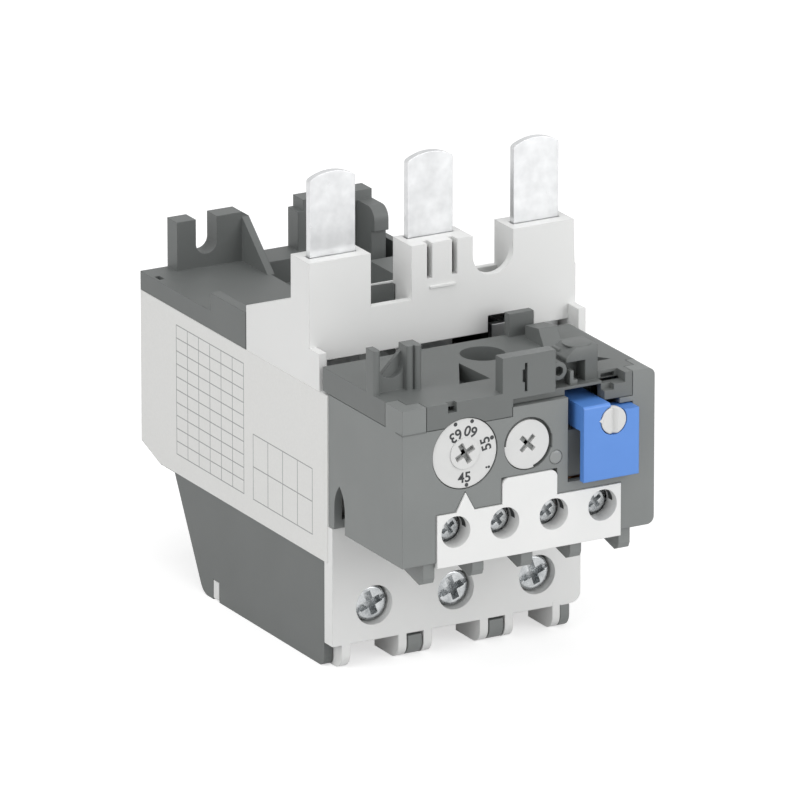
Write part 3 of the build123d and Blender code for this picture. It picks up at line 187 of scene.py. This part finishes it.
# Reset button is ABS, satin
buttonAbs = mouldedPlastic("buttonAbsMoulded", {
    "shade": "#4F83CF", "tint": "#5C8FDB", "grain": 0.3, "drift": 8, "relief": 0.12, "roughness": 0.4,
    "ior": 1.54, "edge": 0.3})
flagAbs = mouldedPlastic("flagAbsMoulded", {
    "shade": "#CF6F18", "tint": "#DB7C24", "grain": 0.3, "drift": 8, "relief": 0.12, "roughness": 0.4,
    "ior": 1.54, "edge": 0.1})
sleeveGlassFibre = mouldedPlastic("sleeveGlassFibreWoven", {
    "shade": "#ADA897", "tint": "#C3BEAE", "grain": 0.5, "drift": 4, "relief": 0.6, "roughness": 0.8,
    "ior": 1.5, "edge": 0.1})
# Blades are tinned copper, pale and softly mirrored; screws are zinc plated steel, a little bluer
bladeTin = platedMetal("bladeTinPlated", {
    "shade": "#BCBDBE", "tint": "#E6E7E8", "pitch": 0.5, "lines": (1, 1, 0.4), "drift": 3, "relief": 0.25,
    "roughness": 0.3, "edge": 0.2})
# the screws' tones run from dark to near white: partly the mottled passivation of the zinc, partly painted
# reflection in place of surroundings for the metal to mirror
screwZinc = platedMetal("screwZincPlated", {
    "shade": "#6F7477", "tint": "#E4E6E7", "pitch": 0.4, "lines": (1, 1, 1), "drift": 1.6, "relief": 0.15,
    "roughness": 0.26, "edge": 0.2})
barCopper = platedMetal("barCopperRolled", {
    "shade": "#B57A55", "tint": "#C58A64", "pitch": 0.4, "lines": (1, 0.1, 1), "drift": 6, "relief": 0.2,
    "roughness": 0.35, "edge": 0.15})
stripBimetal = platedMetal("stripBimetalRolled", {
    "shade": "#94938F", "tint": "#A3A29D", "pitch": 0.4, "lines": (1, 1, 0.1), "drift": 6, "relief": 0.2,
    "roughness": 0.4, "edge": 0.1})
springSteel = platedMetal("springSteelDrawn", {
    "shade": "#8F9193", "tint": "#A1A3A5", "pitch": 0.3, "lines": (1, 1, 1), "drift": 3, "relief": 0.1,
    "roughness": 0.3, "edge": 0.05})


def printedFilm(name, look):
    # white vinyl sticker with ruled tables in thin grey ink, their cells left empty
    material, tree = newMaterial(name)
    place = addNode(tree, "ShaderNodeTexCoord").outputs["Object"]
    split = addNode(tree, "ShaderNodeSeparateXYZ", None, {"Vector": place})
    along, up = split.outputs["Y"], split.outputs["Z"]

    def rule(value, start, pitch):
        # 1 on a line that repeats every pitch from start, both in mm
        turns = mathNode(tree, "DIVIDE", mathNode(tree, "SUBTRACT", value, start * mm), pitch * mm)
        return mathNode(tree, "LESS_THAN", mathNode(tree, "FRACT", turns), look["line"] / pitch)

    def within(value, span):
        # 1 from the first line to the last one, its width included
        above = mathNode(tree, "GREATER_THAN", value, span[0] * mm)
        below = mathNode(tree, "LESS_THAN", value, (span[1] + look["line"]) * mm)
        return mathNode(tree, "MULTIPLY", above, below)

    ink = None
    for table in look["tables"]:
        rows = rule(up, table["z"][0], table["row"])
        columns = rule(along, table["y"][0], table["column"])
        area = mathNode(tree, "MULTIPLY", within(along, table["y"]), within(up, table["z"]))
        drawn = mathNode(tree, "MULTIPLY", mathNode(tree, "MAXIMUM", rows, columns), area)
        ink = drawn if ink is None else mathNode(tree, "MAXIMUM", ink, drawn)
    grain = noiseNode(tree, place, look["grain"])
    tone = addNode(tree, "ShaderNodeMix", {"data_type": "RGBA", 7: toLinear(look["ink"])},
                   {0: ink, 6: toneNode(tree, look, grain)})
    shader = addNode(tree, "ShaderNodeBsdfPrincipled", {"Roughness": look["roughness"], "IOR": look["ior"]},
                     {"Base Color": tone.outputs[2], "Normal": reliefNode(tree, look, grain, 0.02)})
    finishMaterial(tree, shader.outputs["BSDF"])
    return material


front = terminalFace / mm
labelVinyl = printedFilm("labelVinylPrinted", {
    "shade": "#DADAD8", "tint": "#E2E2E0", "ink": "#8C8E8E", "line": 0.22, "grain": 0.6, "relief": 0.08,
    "roughness": 0.36, "ior": 1.5,
    # ruled tables: extent in depth and height, then the height of a row and the width of a column
    "tables": [{"y": (front + 37, front + 66), "z": (27.0, 55.0), "row": 2.8, "column": 4.83},
               {"y": (front + 8, front + 33), "z": (27.0, 41.0), "row": 7.0, "column": 6.25}]})


def clearLens(name, look):
    # moulded acrylic, a cloudy grey over the dark space behind it
    material, tree = newMaterial(name)
    place = addNode(tree, "ShaderNodeTexCoord").outputs["Object"]
    ripple = noiseNode(tree, place, look["ripple"])
    shader = addNode(tree, "ShaderNodeBsdfPrincipled",
                     {"Base Color": toLinear(look["tint"]), "Roughness": look["roughness"],
                      "IOR": look["ior"], "Transmission Weight": look["transmission"]},
                     {"Normal": reliefNode(tree, look, ripple, 0.05)})
    finishMaterial(tree, shader.outputs["BSDF"])
    return material


lensAcrylic = clearLens("lensAcrylicMoulded", {
    "tint": "#A9ACAB", "roughness": 0.08, "ior": 1.49, "transmission": 0.35, "ripple": 1.2,
    "relief": 0.05})
dialInk = mouldedPlastic("dialInkPrinted", {
    "shade": "#2A2C2E", "tint": "#37393B", "grain": 0.2, "drift": 2, "relief": 0.05, "roughness": 0.6,
    "ior": 1.5, "edge": 0.01})
print("materials made")

finishes = {
    "base_housing": housingNylon, "terminal_shroud": shroudPolycarbonate, "side_label": labelVinyl,
    "module_body": moduleNylon, "module_cover": coverNylon, "aux_terminal_plate": platePolycarbonate,
    "indicator_lens": lensAcrylic, "setting_dial": discAcetal, "trim_disc": discAcetal,
    "reset_selector": discAcetal, "setting_cam": leverAcetal, "setting_lever": leverNylon,
    "compensation_lever": stripBimetal, "trip_lever": leverAcetal, "contact_carrier": leverAcetal,
    "trip_flag": flagAbs, "nc_contact_leaf": barCopper, "no_contact_leaf": barCopper,
    "reset_button": buttonAbs, "reset_spring": springSteel, "test_slider": leverNylon,
    "trip_slider": leverAcetal, "return_slider": leverAcetal, "differential_lever": leverAcetal,
}
families = {
    "line_blade": bladeTin, "load_terminal": barCopper, "load_clamp": screwZinc, "load_screw": screwZinc,
    "bimetal_strip": stripBimetal, "heater_winding": sleeveGlassFibre, "aux_bar": barCopper,
    "aux_screw": screwZinc, "aux_clamp": screwZinc,
}
for name, piece in nodes.items():
    finish = finishes.get(name) or families[name.rsplit("_", 1)[0]]
    for slot in piece.material_slots:
        slot.material = finish
    if not piece.material_slots:
        piece.data.materials.append(finish)
print("finishes given to", len(nodes), "pieces")


def addObject(name, data):
    made = bpy.data.objects.new(name, data)
    bpy.context.scene.collection.objects.link(made)
    return made


def meshFrom(tool, name):
    mesh = bpy.data.meshes.new(name)
    tool.to_mesh(mesh)
    tool.free()
    return mesh


def evaluatedMesh(holder):
    # mesh of a text or of a piece with its modifiers worked in
    bpy.context.view_layer.update()
    return bpy.data.meshes.new_from_object(holder.evaluated_get(bpy.context.evaluated_depsgraph_get()))


def joinMeshes(name, meshes, material, body):
    tool = bmesh.new()
    for mesh in meshes:
        tool.from_mesh(mesh)
    joined = meshFrom(tool, name)
    piece = addObject(name, joined)
    joined.materials.append(material)
    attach(piece, body)
    return piece


def standAt(spot):
    # turns a flat mesh up to face the front, at a place in mm
    return Matrix.Translation(Vector(spot) * mm) @ Matrix.Rotation(math.radians(90), 4, "X")


def flatFigure(text, spot, turn, look):
    # printed figure on a disc: a thin raised mesh, facing the front
    curve = bpy.data.curves.new("figure" + text, "FONT")
    curve.body = text
    curve.size = look["size"] * mm
    curve.extrude = look["thickness"] * mm / 2
    curve.offset = look["bold"] * mm
    curve.align_x = "CENTER"
    curve.align_y = "CENTER"
    holder = addObject("figure" + text + "Curve", curve)
    mesh = evaluatedMesh(holder)
    bpy.data.objects.remove(holder)
    mesh.transform(standAt(spot) @ Matrix.Rotation(math.radians(turn), 4, "Z"))
    return mesh


def roundDot(spot, radius, thickness):
    tool = bmesh.new()
    bmesh.ops.create_cone(tool, cap_ends=True, segments=20, radius1=radius * mm, radius2=radius * mm,
                          depth=thickness * mm)
    bmesh.ops.transform(tool, matrix=standAt(spot), verts=tool.verts)
    return meshFrom(tool, "dot")


dialPrint = {
    "centre": (-16.5, 52.9), "face": 0.25, "size": 3.0, "thickness": 0.04, "bold": 0.06,
    # figure, its direction in degrees clockwise from the top, and its distance from the middle
    "figures": [("45", 180, 5.2), ("55", 76, 5.1), ("60", 18, 4.7), ("63", -27, 4.5)],
    # direction, distance and radius of each dot
    "dots": [(-18, 6.7, 0.42), (15, 6.7, 0.42), (70, 6.7, 0.45), (124, 6.75, 0.28), (127, 6.3, 0.22),
             (176, 6.75, 0.42)],
}


def makeDialPrint(look):
    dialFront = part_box("setting_dial")[0].y / mm + look["face"]
    thickness = look["thickness"]

    def spot(bearing, radius):
        a = math.radians(bearing)
        return (look["centre"][0] + radius * math.sin(a), dialFront - thickness / 2,
                look["centre"][1] + radius * math.cos(a))

    meshes = [flatFigure(text, spot(bearing, radius), 180 - bearing, look)
              for text, bearing, radius in look["figures"]]
    meshes += [roundDot(spot(bearing, radius), size, thickness) for bearing, radius, size in look["dots"]]
    return joinMeshes("dialFigures", meshes, dialInk, "setting_dial")


makeDialPrint(dialPrint)
print("dial printed")


def carriedOutline(name, axis, points, span, ease=0.15):
    # outline carried along x, y or z between two values, with every edge eased as the tool leaves it
    tool = bmesh.new()

    def place(a, b, c):
        x, depth, z = {"x": (c, a, b), "y": (a, c, b), "z": (a, b, c)}[axis]
        return x * mm, terminalFace + depth * mm, z * mm

    low = [tool.verts.new(place(a, b, span[0])) for a, b in points]
    high = [tool.verts.new(place(a, b, span[1])) for a, b in points]
    tool.faces.new(low)
    tool.faces.new(high[::-1])
    for i in range(len(points)):
        j = (i + 1) % len(points)
        tool.faces.new((low[i], low[j], high[j], high[i]))
    bmesh.ops.recalc_face_normals(tool, faces=tool.faces)
    if ease:
        bmesh.ops.bevel(tool, geom=list(tool.edges), offset=ease * mm, offset_type="OFFSET", segments=2,
                        profile=0.5, affect="EDGES", clamp_overlap=True)
    return meshFrom(tool, name)


def ring(centre, radius, count=36, start=0, sweep=360):
    # points on a circle, or on an arc with both its ends
    return [(centre[0] + radius * math.cos(math.radians(start + sweep * i / count)),
             centre[1] + radius * math.sin(math.radians(start + sweep * i / count)))
            for i in range(count + (sweep < 360))]


def rectangle(a, b):
    return [(a[0], b[0]), (a[1], b[0]), (a[1], b[1]), (a[0], b[1])]


def combine(piece, shapes, operation):
    # cuts each shape out of the piece in turn, or unites it with the piece
    for shape in shapes:
        other = addObject("other", shape)
        step = piece.modifiers.new("step", "BOOLEAN")
        step.operation = operation
        step.solver = "EXACT"
        step.object = other
        made = evaluatedMesh(piece)
        piece.modifiers.clear()
        piece.data = made
        bpy.data.objects.remove(other)
    tool = bmesh.new()
    tool.from_mesh(piece.data)
    for face in tool.faces:
        face.smooth = True
    for edge in tool.edges:
        edge.smooth = len(edge.link_faces) == 2 and edge.calc_face_angle(3.0) < math.radians(30)
    tool.to_mesh(piece.data)
    tool.free()


coverForm = {
    "top": 64.0, "over": 8, "lap": 0.1, "inset": 0.04, "ease": 0.2, "fineEase": 0.12,
    # cut away: the walls, the bay right of the raised block, its step beside the button, a slot and a hole
    "walls": {"x": (5.0, 17.6), "depth": (-27.6, -14.2)},
    "bay": {"x": (4.4, 15.9), "depth": (-29.5, -19.4), "floor": 62.6},
    "step": {"x": (15.8, 20.4), "depth": (-29.5, -25.6), "floor": 62.0},
    "slot": {"x": (16.6, 19.8), "depth": (-25.7, -24.0), "z": (62.5, 63.4)},
    "hole": {"corners": [(18.3, -14.8), (18.3, -19.8), (22.3, -19.8)], "deep": 1.3},
    # added: the tower with its roof, right leg and back wall, then shoulder, hook, stub and round mark
    "tower": {"x": (8.4, 15.8), "depth": (-26.0, -19.5), "top": 69.9, "under": 67.0, "leg": 12.8,
              "bevel": (2.2, 1.9), "legDown": 0.5},
    "back": {"inLeft": 0.3, "inLeg": 0.5, "depth": -22.4, "down": 1.0},
    "shoulder": {"left": 4.2, "leftTop": 67.2, "peak": (6.6, 68.6), "rightTop": 67.6, "inRight": 0.6,
                 "depth": -22.6},
    "hook": {"x": (8.7, 9.6, 10.5), "z": (63.6, 65.6), "depth": (-27.0, -24.6)},
    "stub": {"centre": (6.1, 66.0), "radius": 1.9, "bore": 1.0, "boreDeep": 1.8, "depth": (-27.0, -22.0)},
    "mark": {"centre": (12.6, -22.9), "radius": 3.0, "sunk": 0.2, "proud": 0.12, "ease": 0.06},
    # filled: the shallow round mark near the right edge, and part of the square hole for the test slide
    "markFill": {"centre": (22.0, -8.0), "radius": 3.25, "z": (63.6, 63.99)},
    "slotFill": {"x": (-20.5, -18.3), "depth": (-27.7, -24.8), "z": (62.9, 63.99)},
}


def weldedCopy(name, source):
    # copy of a CAD mesh with its vertices welded, ready to be carved
    mesh = source.data.copy()
    tool = bmesh.new()
    tool.from_mesh(mesh)
    bmesh.ops.remove_doubles(tool, verts=tool.verts, dist=0.001 * mm)
    bmesh.ops.recalc_face_normals(tool, faces=tool.faces)
    tool.to_mesh(mesh)
    tool.free()
    return addObject(name, mesh)


def coverCutters(look):
    top, high = look["top"], look["top"] + look["over"]
    walls, bay, step, slot, hole = (look[part] for part in ("walls", "bay", "step", "slot", "hole"))
    return [carriedOutline("cutWalls", "z", rectangle(walls["x"], walls["depth"]), (top, high), 0),
            carriedOutline("cutBay", "z", rectangle(bay["x"], bay["depth"]), (bay["floor"], high), 0),
            carriedOutline("cutStep", "z", rectangle(step["x"], step["depth"]), (step["floor"], high), 0),
            carriedOutline("cutSlot", "y", rectangle(slot["x"], slot["z"]), slot["depth"], 0),
            carriedOutline("cutHole", "z", hole["corners"], (top - hole["deep"], top + 1), 0)]


def coverAdditions(look):
    tower, back, shoulder, hook = look["tower"], look["back"], look["shoulder"], look["hook"]
    stub, mark, markFill, slotFill = look["stub"], look["mark"], look["markFill"], look["slotFill"]
    ease, fineEase, inset = look["ease"], look["fineEase"], look["inset"]
    floor = look["bay"]["floor"] - look["lap"]
    (left, right), (front, rear), high = tower["x"], tower["depth"], tower["top"]
    across, down = tower["bevel"]
    backPlan = rectangle((left + back["inLeft"], tower["leg"] + back["inLeg"]), (back["depth"], rear - inset))
    inner = left + shoulder["inRight"]
    shoulderSide = [(shoulder["left"], floor), (inner, floor), (inner, shoulder["rightTop"]),
                    shoulder["peak"], (shoulder["left"], shoulder["leftTop"])]
    legPlan = rectangle((tower["leg"], right - inset), (front + inset, rear - 2 * inset))
    roofSide = [(left, tower["under"]), (right, tower["under"]), (right, high), (left + across, high),
                (left, high - down)]
    (a, b, c), (low, tip) = hook["x"], hook["z"]
    hookSide = [(a, floor), (c, floor), (c, low), (b, low), (b, tip), (a, tip)]
    return [
        carriedOutline("back", "z", backPlan, (floor, high - back["down"]), ease),
        carriedOutline("shoulder", "y", shoulderSide, (shoulder["depth"], rear + inset), ease),
        carriedOutline("leg", "z", legPlan, (floor, high - tower["legDown"]), ease),
        carriedOutline("roof", "y", roofSide, (front, rear), ease),
        carriedOutline("hook", "y", hookSide, hook["depth"], fineEase),
        carriedOutline("stub", "y", ring(stub["centre"], stub["radius"]), stub["depth"], fineEase),
        carriedOutline("mark", "z", ring(mark["centre"], mark["radius"], 48),
                       (high - mark["sunk"], high + mark["proud"]), mark["ease"]),
        carriedOutline("markFill", "z", ring(markFill["centre"], markFill["radius"], 48), markFill["z"], 0),
        carriedOutline("slotFill", "z", rectangle(slotFill["x"], slotFill["depth"]), slotFill["z"], 0),
    ]


def makeCover(look):
    piece = weldedCopy("coverCarved", nodes["module_cover"])
    combine(piece, coverCutters(look), "DIFFERENCE")
    combine(piece, coverAdditions(look), "UNION")
    stub = look["stub"]
    bore = carriedOutline("bore", "y", ring(stub["centre"], stub["bore"], 24),
                          (stub["depth"][0] - 1, stub["depth"][0] + stub["boreDeep"]), 0)
    combine(piece, [bore], "DIFFERENCE")
    piece.data.materials.clear()
    piece.data.materials.append(coverNylon)
    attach(piece, "housing")
    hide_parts("module_cover")
    return piece


makeCover(coverForm)
print("cover carved")


housingForm = {
    # wall seen through the left strip of the button's window
    "windowWall": {"x": (7.3, 13.2), "z": (43.4, 53.2), "depth": (-27.2, -26.4), "ease": 0.1},
    # dark base seen in the channel between the first two towers
    "channelFloor": {"x": (-16.6, -7.3), "depth": (17.3, 36.0), "z": (58.4, 58.65), "ease": 0.05},
    "channelCheek": {"x": (-7.5, -7.27), "ease": 0.05,
                     "outline": [(16.2, 58.5), (35.9, 58.5), (35.9, 67.7), (17.2, 74.3), (16.2, 74.3)]},
    # feet between and beside the lobes: side is the front, radius of the rounding, top and rear
    "toes": {"x": (-11.7, 7.3), "half": 1.65, "side": (0.1, 3.0, 4.7, 5.0), "ease": 0.15},
    "rightToe": {"x": (22.3, 24.42), "side": (-0.02, 3.0, 5.2, 10.1), "ease": 0.05},
    "rightLobe": {"x": (20.4, 22.2), "side": (-0.03, 3.0, 6.3, 10.0), "ease": 0.1},
}


def toeOutline(front, radius, top, rear):
    # round at the front foot, flat behind
    arc = ring((front + radius, radius), radius, 10, 180, 90)
    return [(front, top)] + arc + [(rear, 0.0), (rear, top)]


def makeHousingForms(look):
    wall, floor, cheek = look["windowWall"], look["channelFloor"], look["channelCheek"]
    toes, rightToe, rightLobe = look["toes"], look["rightToe"], look["rightLobe"]
    pane = carriedOutline("wall", "y", rectangle(wall["x"], wall["z"]), wall["depth"], wall["ease"])
    joinMeshes("windowWall", [pane], moduleNylon, "housing")
    lining = [carriedOutline("floor", "z", rectangle(floor["x"], floor["depth"]), floor["z"], floor["ease"]),
              carriedOutline("cheek", "x", cheek["outline"], cheek["x"], cheek["ease"])]
    joinMeshes("channelLining", lining, housingNylon, "housing")
    side, half = toeOutline(*toes["side"]), toes["half"]
    dark = [carriedOutline("toe", "x", side, (x - half, x + half), toes["ease"]) for x in toes["x"]]
    dark.append(carriedOutline("toe", "x", toeOutline(*rightToe["side"]), rightToe["x"], rightToe["ease"]))
    joinMeshes("barrierToes", dark, moduleNylon, "housing")
    lobe = carriedOutline("lobe", "x", toeOutline(*rightLobe["side"]), rightLobe["x"], rightLobe["ease"])
    joinMeshes("rightLobe", [lobe], shroudPolycarbonate, "housing")


wellShadeForm = {"x": (-18.75, -7.45, 3.85, 15.15), "z": 36.8, "outer": 3.29, "inner": 3.19,
            # bearings in degrees from the right, and steps along the arc
            "depth": (-27.4, -26.0), "start": 0, "sweep": 80, "steps": 14}


def makeWellPaintedShade(look):
    # near-black arcs painted as the shade that falls inside each small screw's well, past its upper right
    arcs = []
    for x in look["x"]:
        outer, inner = (ring((x, look["z"]), look[edge], look["steps"], look["start"], look["sweep"])
                        for edge in ("outer", "inner"))
        arcs.append(carriedOutline("lining", "y", outer + inner[::-1], look["depth"], 0))
    return joinMeshes("wellPaintedShade", arcs, paintedShadeNylon, "housing")


ridgeForm = {"z": (58.65, 58.95), "proud": 0.12, "deep": 0.4, "corner": -25.4, "back": -26.2, "ease": 0.08,
             "behind": 0.02}


def makeRidge(look):
    # thin parting ridge round the left front corner of the module
    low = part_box("module_body")[0] / mm
    x, depth = low.x, low.y - terminalFace / mm
    proud, deep, behind = look["proud"], look["deep"], look["behind"]
    side = rectangle((x - proud, x + deep), (depth - proud, look["back"]))
    front = rectangle((x - proud + behind, look["corner"]), (depth - proud + behind, depth + deep))
    return joinMeshes("partingRidge", [carriedOutline("ridge", "z", outline, look["z"], look["ease"])
                                       for outline in (side, front)], coverNylon, "housing")


makeHousingForms(housingForm)
makeWellPaintedShade(wellShadeForm)
makeRidge(ridgeForm)
print("housing forms added")


selectorForm = {
    # columns across the disc, and the share of its width that they take
    "centre": (16.0, 55.5), "radius": 2.85, "front": -32.3, "rear": -31.0, "columns": 28, "share": 0.985,
    # half width and depth of the groove, rise towards the sides, and drop at the rim
    "groove": 0.85, "deep": 0.65, "crown": 0.25, "rimDrop": 0.18, "rimStart": 0.9,
    # pointer at the left: its corners from the disc's edge, and how far behind the front it starts
    "nib": [(-0.5, 0.3), (0.4, 0.9), (0.4, -0.6)], "nibBack": 0.15,
    "stemRadius": 1.5, "stemEnd": -28.2, "lap": 0.1, "ease": 0.05,
}


def makeSelector(look):
    # slotted disc: columns across it, deeper towards the groove in its middle
    (x0, z0), r, groove = look["centre"], look["radius"], look["groove"]
    steps = [r * look["share"] * (2 * i / look["columns"] - 1) for i in range(look["columns"] + 1)]
    steps = sorted(set(steps + [-groove, 0.0, groove]))
    tool = bmesh.new()

    def corner(x, depth, z):
        return tool.verts.new(((x0 + x) * mm, terminalFace + depth * mm, (z0 + z) * mm))

    rows = []
    for x in steps:
        reach = math.sqrt(r * r - x * x)
        sink = look["deep"] * max(0.0, 1 - abs(x) / groove)
        crown = look["crown"] * (x / r) ** 2
        row = []
        for z in (reach, reach * look["rimStart"], 0.0, -reach * look["rimStart"], -reach):
            rim = look["rimDrop"] if abs(z) == reach else 0.0
            row.append(corner(x, look["front"] + sink + crown + rim, z))
        row += [corner(x, look["rear"], z) for z in (-reach, reach)]
        rows.append(row)
    for a, b in zip(rows, rows[1:]):
        for k in range(len(a)):
            m = (k + 1) % len(a)
            tool.faces.new((a[k], a[m], b[m], b[k]))
    for end in (rows[0], rows[-1]):
        tool.faces.new(end)
    bmesh.ops.recalc_face_normals(tool, faces=tool.faces)
    disc = meshFrom(tool, "selectorDisc")
    edge = x0 - r
    nib = carriedOutline("nib", "y", [(edge + x, z0 + z) for x, z in look["nib"]],
                         (look["front"] + look["nibBack"], look["rear"]), look["ease"])
    stem = carriedOutline("stem", "y", ring(look["centre"], look["stemRadius"], 24),
                          (look["rear"] - look["lap"], look["stemEnd"]), look["ease"])
    piece = joinMeshes("selectorSlotted", [disc, nib, stem], discAcetal, "reset_selector")
    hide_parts("reset_selector")
    return piece


def makeSpring():
    # copy of the coil with its placing baked in, shown in place of the hidden CAD coil
    coil = addObject("resetSpringCoil", nodes["reset_spring"].data.copy())
    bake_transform(coil)
    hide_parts("reset_spring")
    return coil


crossShade = {
    "dial": {"centre": (-16.5, 52.9), "turn": 28, "arm": 2.2, "half": 0.52, "depth": (-27.8, -27.73)},
    "disc": {"centre": (-2.0, 52.6), "turn": 45, "arm": 2.0, "half": 0.42, "depth": (-27.85, -27.78)},
}


def makeCrossShade(name, look, body):
    # darker cross painted as the shade on the floor of a driver recess
    (x0, z0), a = look["centre"], math.radians(look["turn"])
    parts = []
    for wide, tall in ((look["arm"], look["half"]), (look["half"], look["arm"])):
        spun = [(x0 + x * math.cos(a) - z * math.sin(a), z0 + x * math.sin(a) + z * math.cos(a))
                for x, z in rectangle((-wide, wide), (-tall, tall))]
        parts.append(carriedOutline(name, "y", spun, look["depth"], 0))
    return joinMeshes(name, parts, paintedRecessShade, body)


makeSelector(selectorForm)
makeSpring()
makeCrossShade("dialRecessPaintedShade", crossShade["dial"], "setting_dial")
makeCrossShade("discRecessPaintedShade", crossShade["disc"], "trim_disc")
print("selector, spring and recesses made")

studio = {
    "paper": "#D0D0D0", "bounce": "#D8D8D8", "glow": 0.6, "floorSize": 3.0, "world": 0.5,
    "aim": (0, 0, 0.045),
    # name: bearing, height angle, distance in m, size in m, watts
    "lamps": {"key": (28, 20, 1.1, 0.7, 5.2), "fill": (-75, 28, 1.2, 0.9, 5.0),
              "top": (-20, 80, 1.1, 0.8, 3.2)},
}


def seenByCamera(tree):
    # 1 where the camera looks straight at a surface, in a reflection or through the lens
    rays = addNode(tree, "ShaderNodeLightPath").outputs
    mirrored = mathNode(tree, "MAXIMUM", rays["Is Camera Ray"], rays["Is Glossy Ray"])
    return mathNode(tree, "MAXIMUM", mirrored, rays["Is Transmission Ray"])


def paperFloor(name, look):
    # white studio paper: nearly white where the camera sees it, and still darkened by the shadow
    material, tree = newMaterial(name)
    seen = seenByCamera(tree)
    matt = addNode(tree, "ShaderNodeBsdfDiffuse", {"Color": toLinear(look["paper"])})
    glow = addNode(tree, "ShaderNodeEmission", {"Color": (1, 1, 1, 1), "Strength": look["glow"]})
    both = addNode(tree, "ShaderNodeAddShader", None, {0: matt.outputs[0], 1: glow.outputs[0]})
    bounce = addNode(tree, "ShaderNodeBsdfDiffuse", {"Color": toLinear(look["bounce"])})
    mixed = addNode(tree, "ShaderNodeMixShader", None, {0: seen, 1: bounce.outputs[0], 2: both.outputs[0]})
    finishMaterial(tree, mixed.outputs[0])
    return material


def makeFloor(look):
    tool = bmesh.new()
    bmesh.ops.create_grid(tool, x_segments=1, y_segments=1, size=look["floorSize"])
    mesh = meshFrom(tool, "studioFloor")
    floor = addObject("studioFloor", mesh)
    mesh.materials.append(paperFloor("studioPaper", look))


def makeWorld(look):
    world = bpy.data.worlds.new("studioWorld")
    world.use_nodes = True
    tree = world.node_tree
    tree.nodes.clear()
    seen = seenByCamera(tree)
    room = addNode(tree, "ShaderNodeBackground", {"Color": (1, 1, 1, 1), "Strength": look["world"]})
    white = addNode(tree, "ShaderNodeBackground", {"Color": (1, 1, 1, 1), "Strength": 1.0})
    mixed = addNode(tree, "ShaderNodeMixShader", None, {0: seen, 1: room.outputs[0], 2: white.outputs[0]})
    addNode(tree, "ShaderNodeOutputWorld", None, {"Surface": mixed.outputs[0]})
    bpy.context.scene.world = world


def towards(bearing, height):
    # unit vector from the object towards a lamp or the camera, angles in degrees
    a, e = math.radians(bearing), math.radians(height)
    return Vector((math.sin(a) * math.cos(e), -math.cos(a) * math.cos(e), math.sin(e)))


def makeLamps(look):
    for name, (bearing, height, distance, size, watts) in look["lamps"].items():
        lamp = bpy.data.lights.new(name + "Lamp", "AREA")
        lamp.shape = "SQUARE"
        lamp.size = size
        lamp.energy = watts
        holder = addObject(name + "Lamp", lamp)
        back = towards(bearing, height)
        holder.location = Vector(look["aim"]) + back * distance
        holder.rotation_euler = (-back).to_track_quat("-Z", "Y").to_euler()


makeFloor(studio)
makeWorld(studio)
makeLamps(studio)
print("studio lit")

photoView = {"azimuth": -29.2, "elevation": 18.5, "sensor": 36, "focal": 540, "pixels": 800,
             # the front left corner of the terminal face at the floor, and where the photo shows it
             "cornerX": -31.0, "cornerPixel": (332.0, 672.2),
             # pixels to the mm at that point
             "scale": 4.94}


def photoCamera(view):
    back = towards(view["azimuth"], view["elevation"])
    turn = (-back).to_track_quat("-Z", "Y").to_matrix()
    focalPixels = view["focal"] / view["sensor"] * view["pixels"]
    distance = focalPixels / view["scale"] * mm
    half = view["pixels"] / 2
    across = (view["cornerPixel"][0] - half) / focalPixels * distance
    down = (view["cornerPixel"][1] - half) / focalPixels * distance
    corner = Vector((view["cornerX"] * mm, terminalFace, 0))
    camera = bpy.data.cameras.new("photoCamera")
    camera.sensor_width = view["sensor"]
    camera.lens = view["focal"]
    camera.clip_start, camera.clip_end = 0.1, 20
    holder = addObject("photoCamera", camera)
    holder.location = corner + back * distance - turn.col[0] * across + turn.col[1] * down
    holder.rotation_mode = "QUATERNION"
    holder.rotation_quaternion = turn.to_quaternion()
    bpy.context.scene.camera = holder


photoCamera(photoView)
bpy.context.scene.view_settings.view_transform = "Standard"
print("camera set")
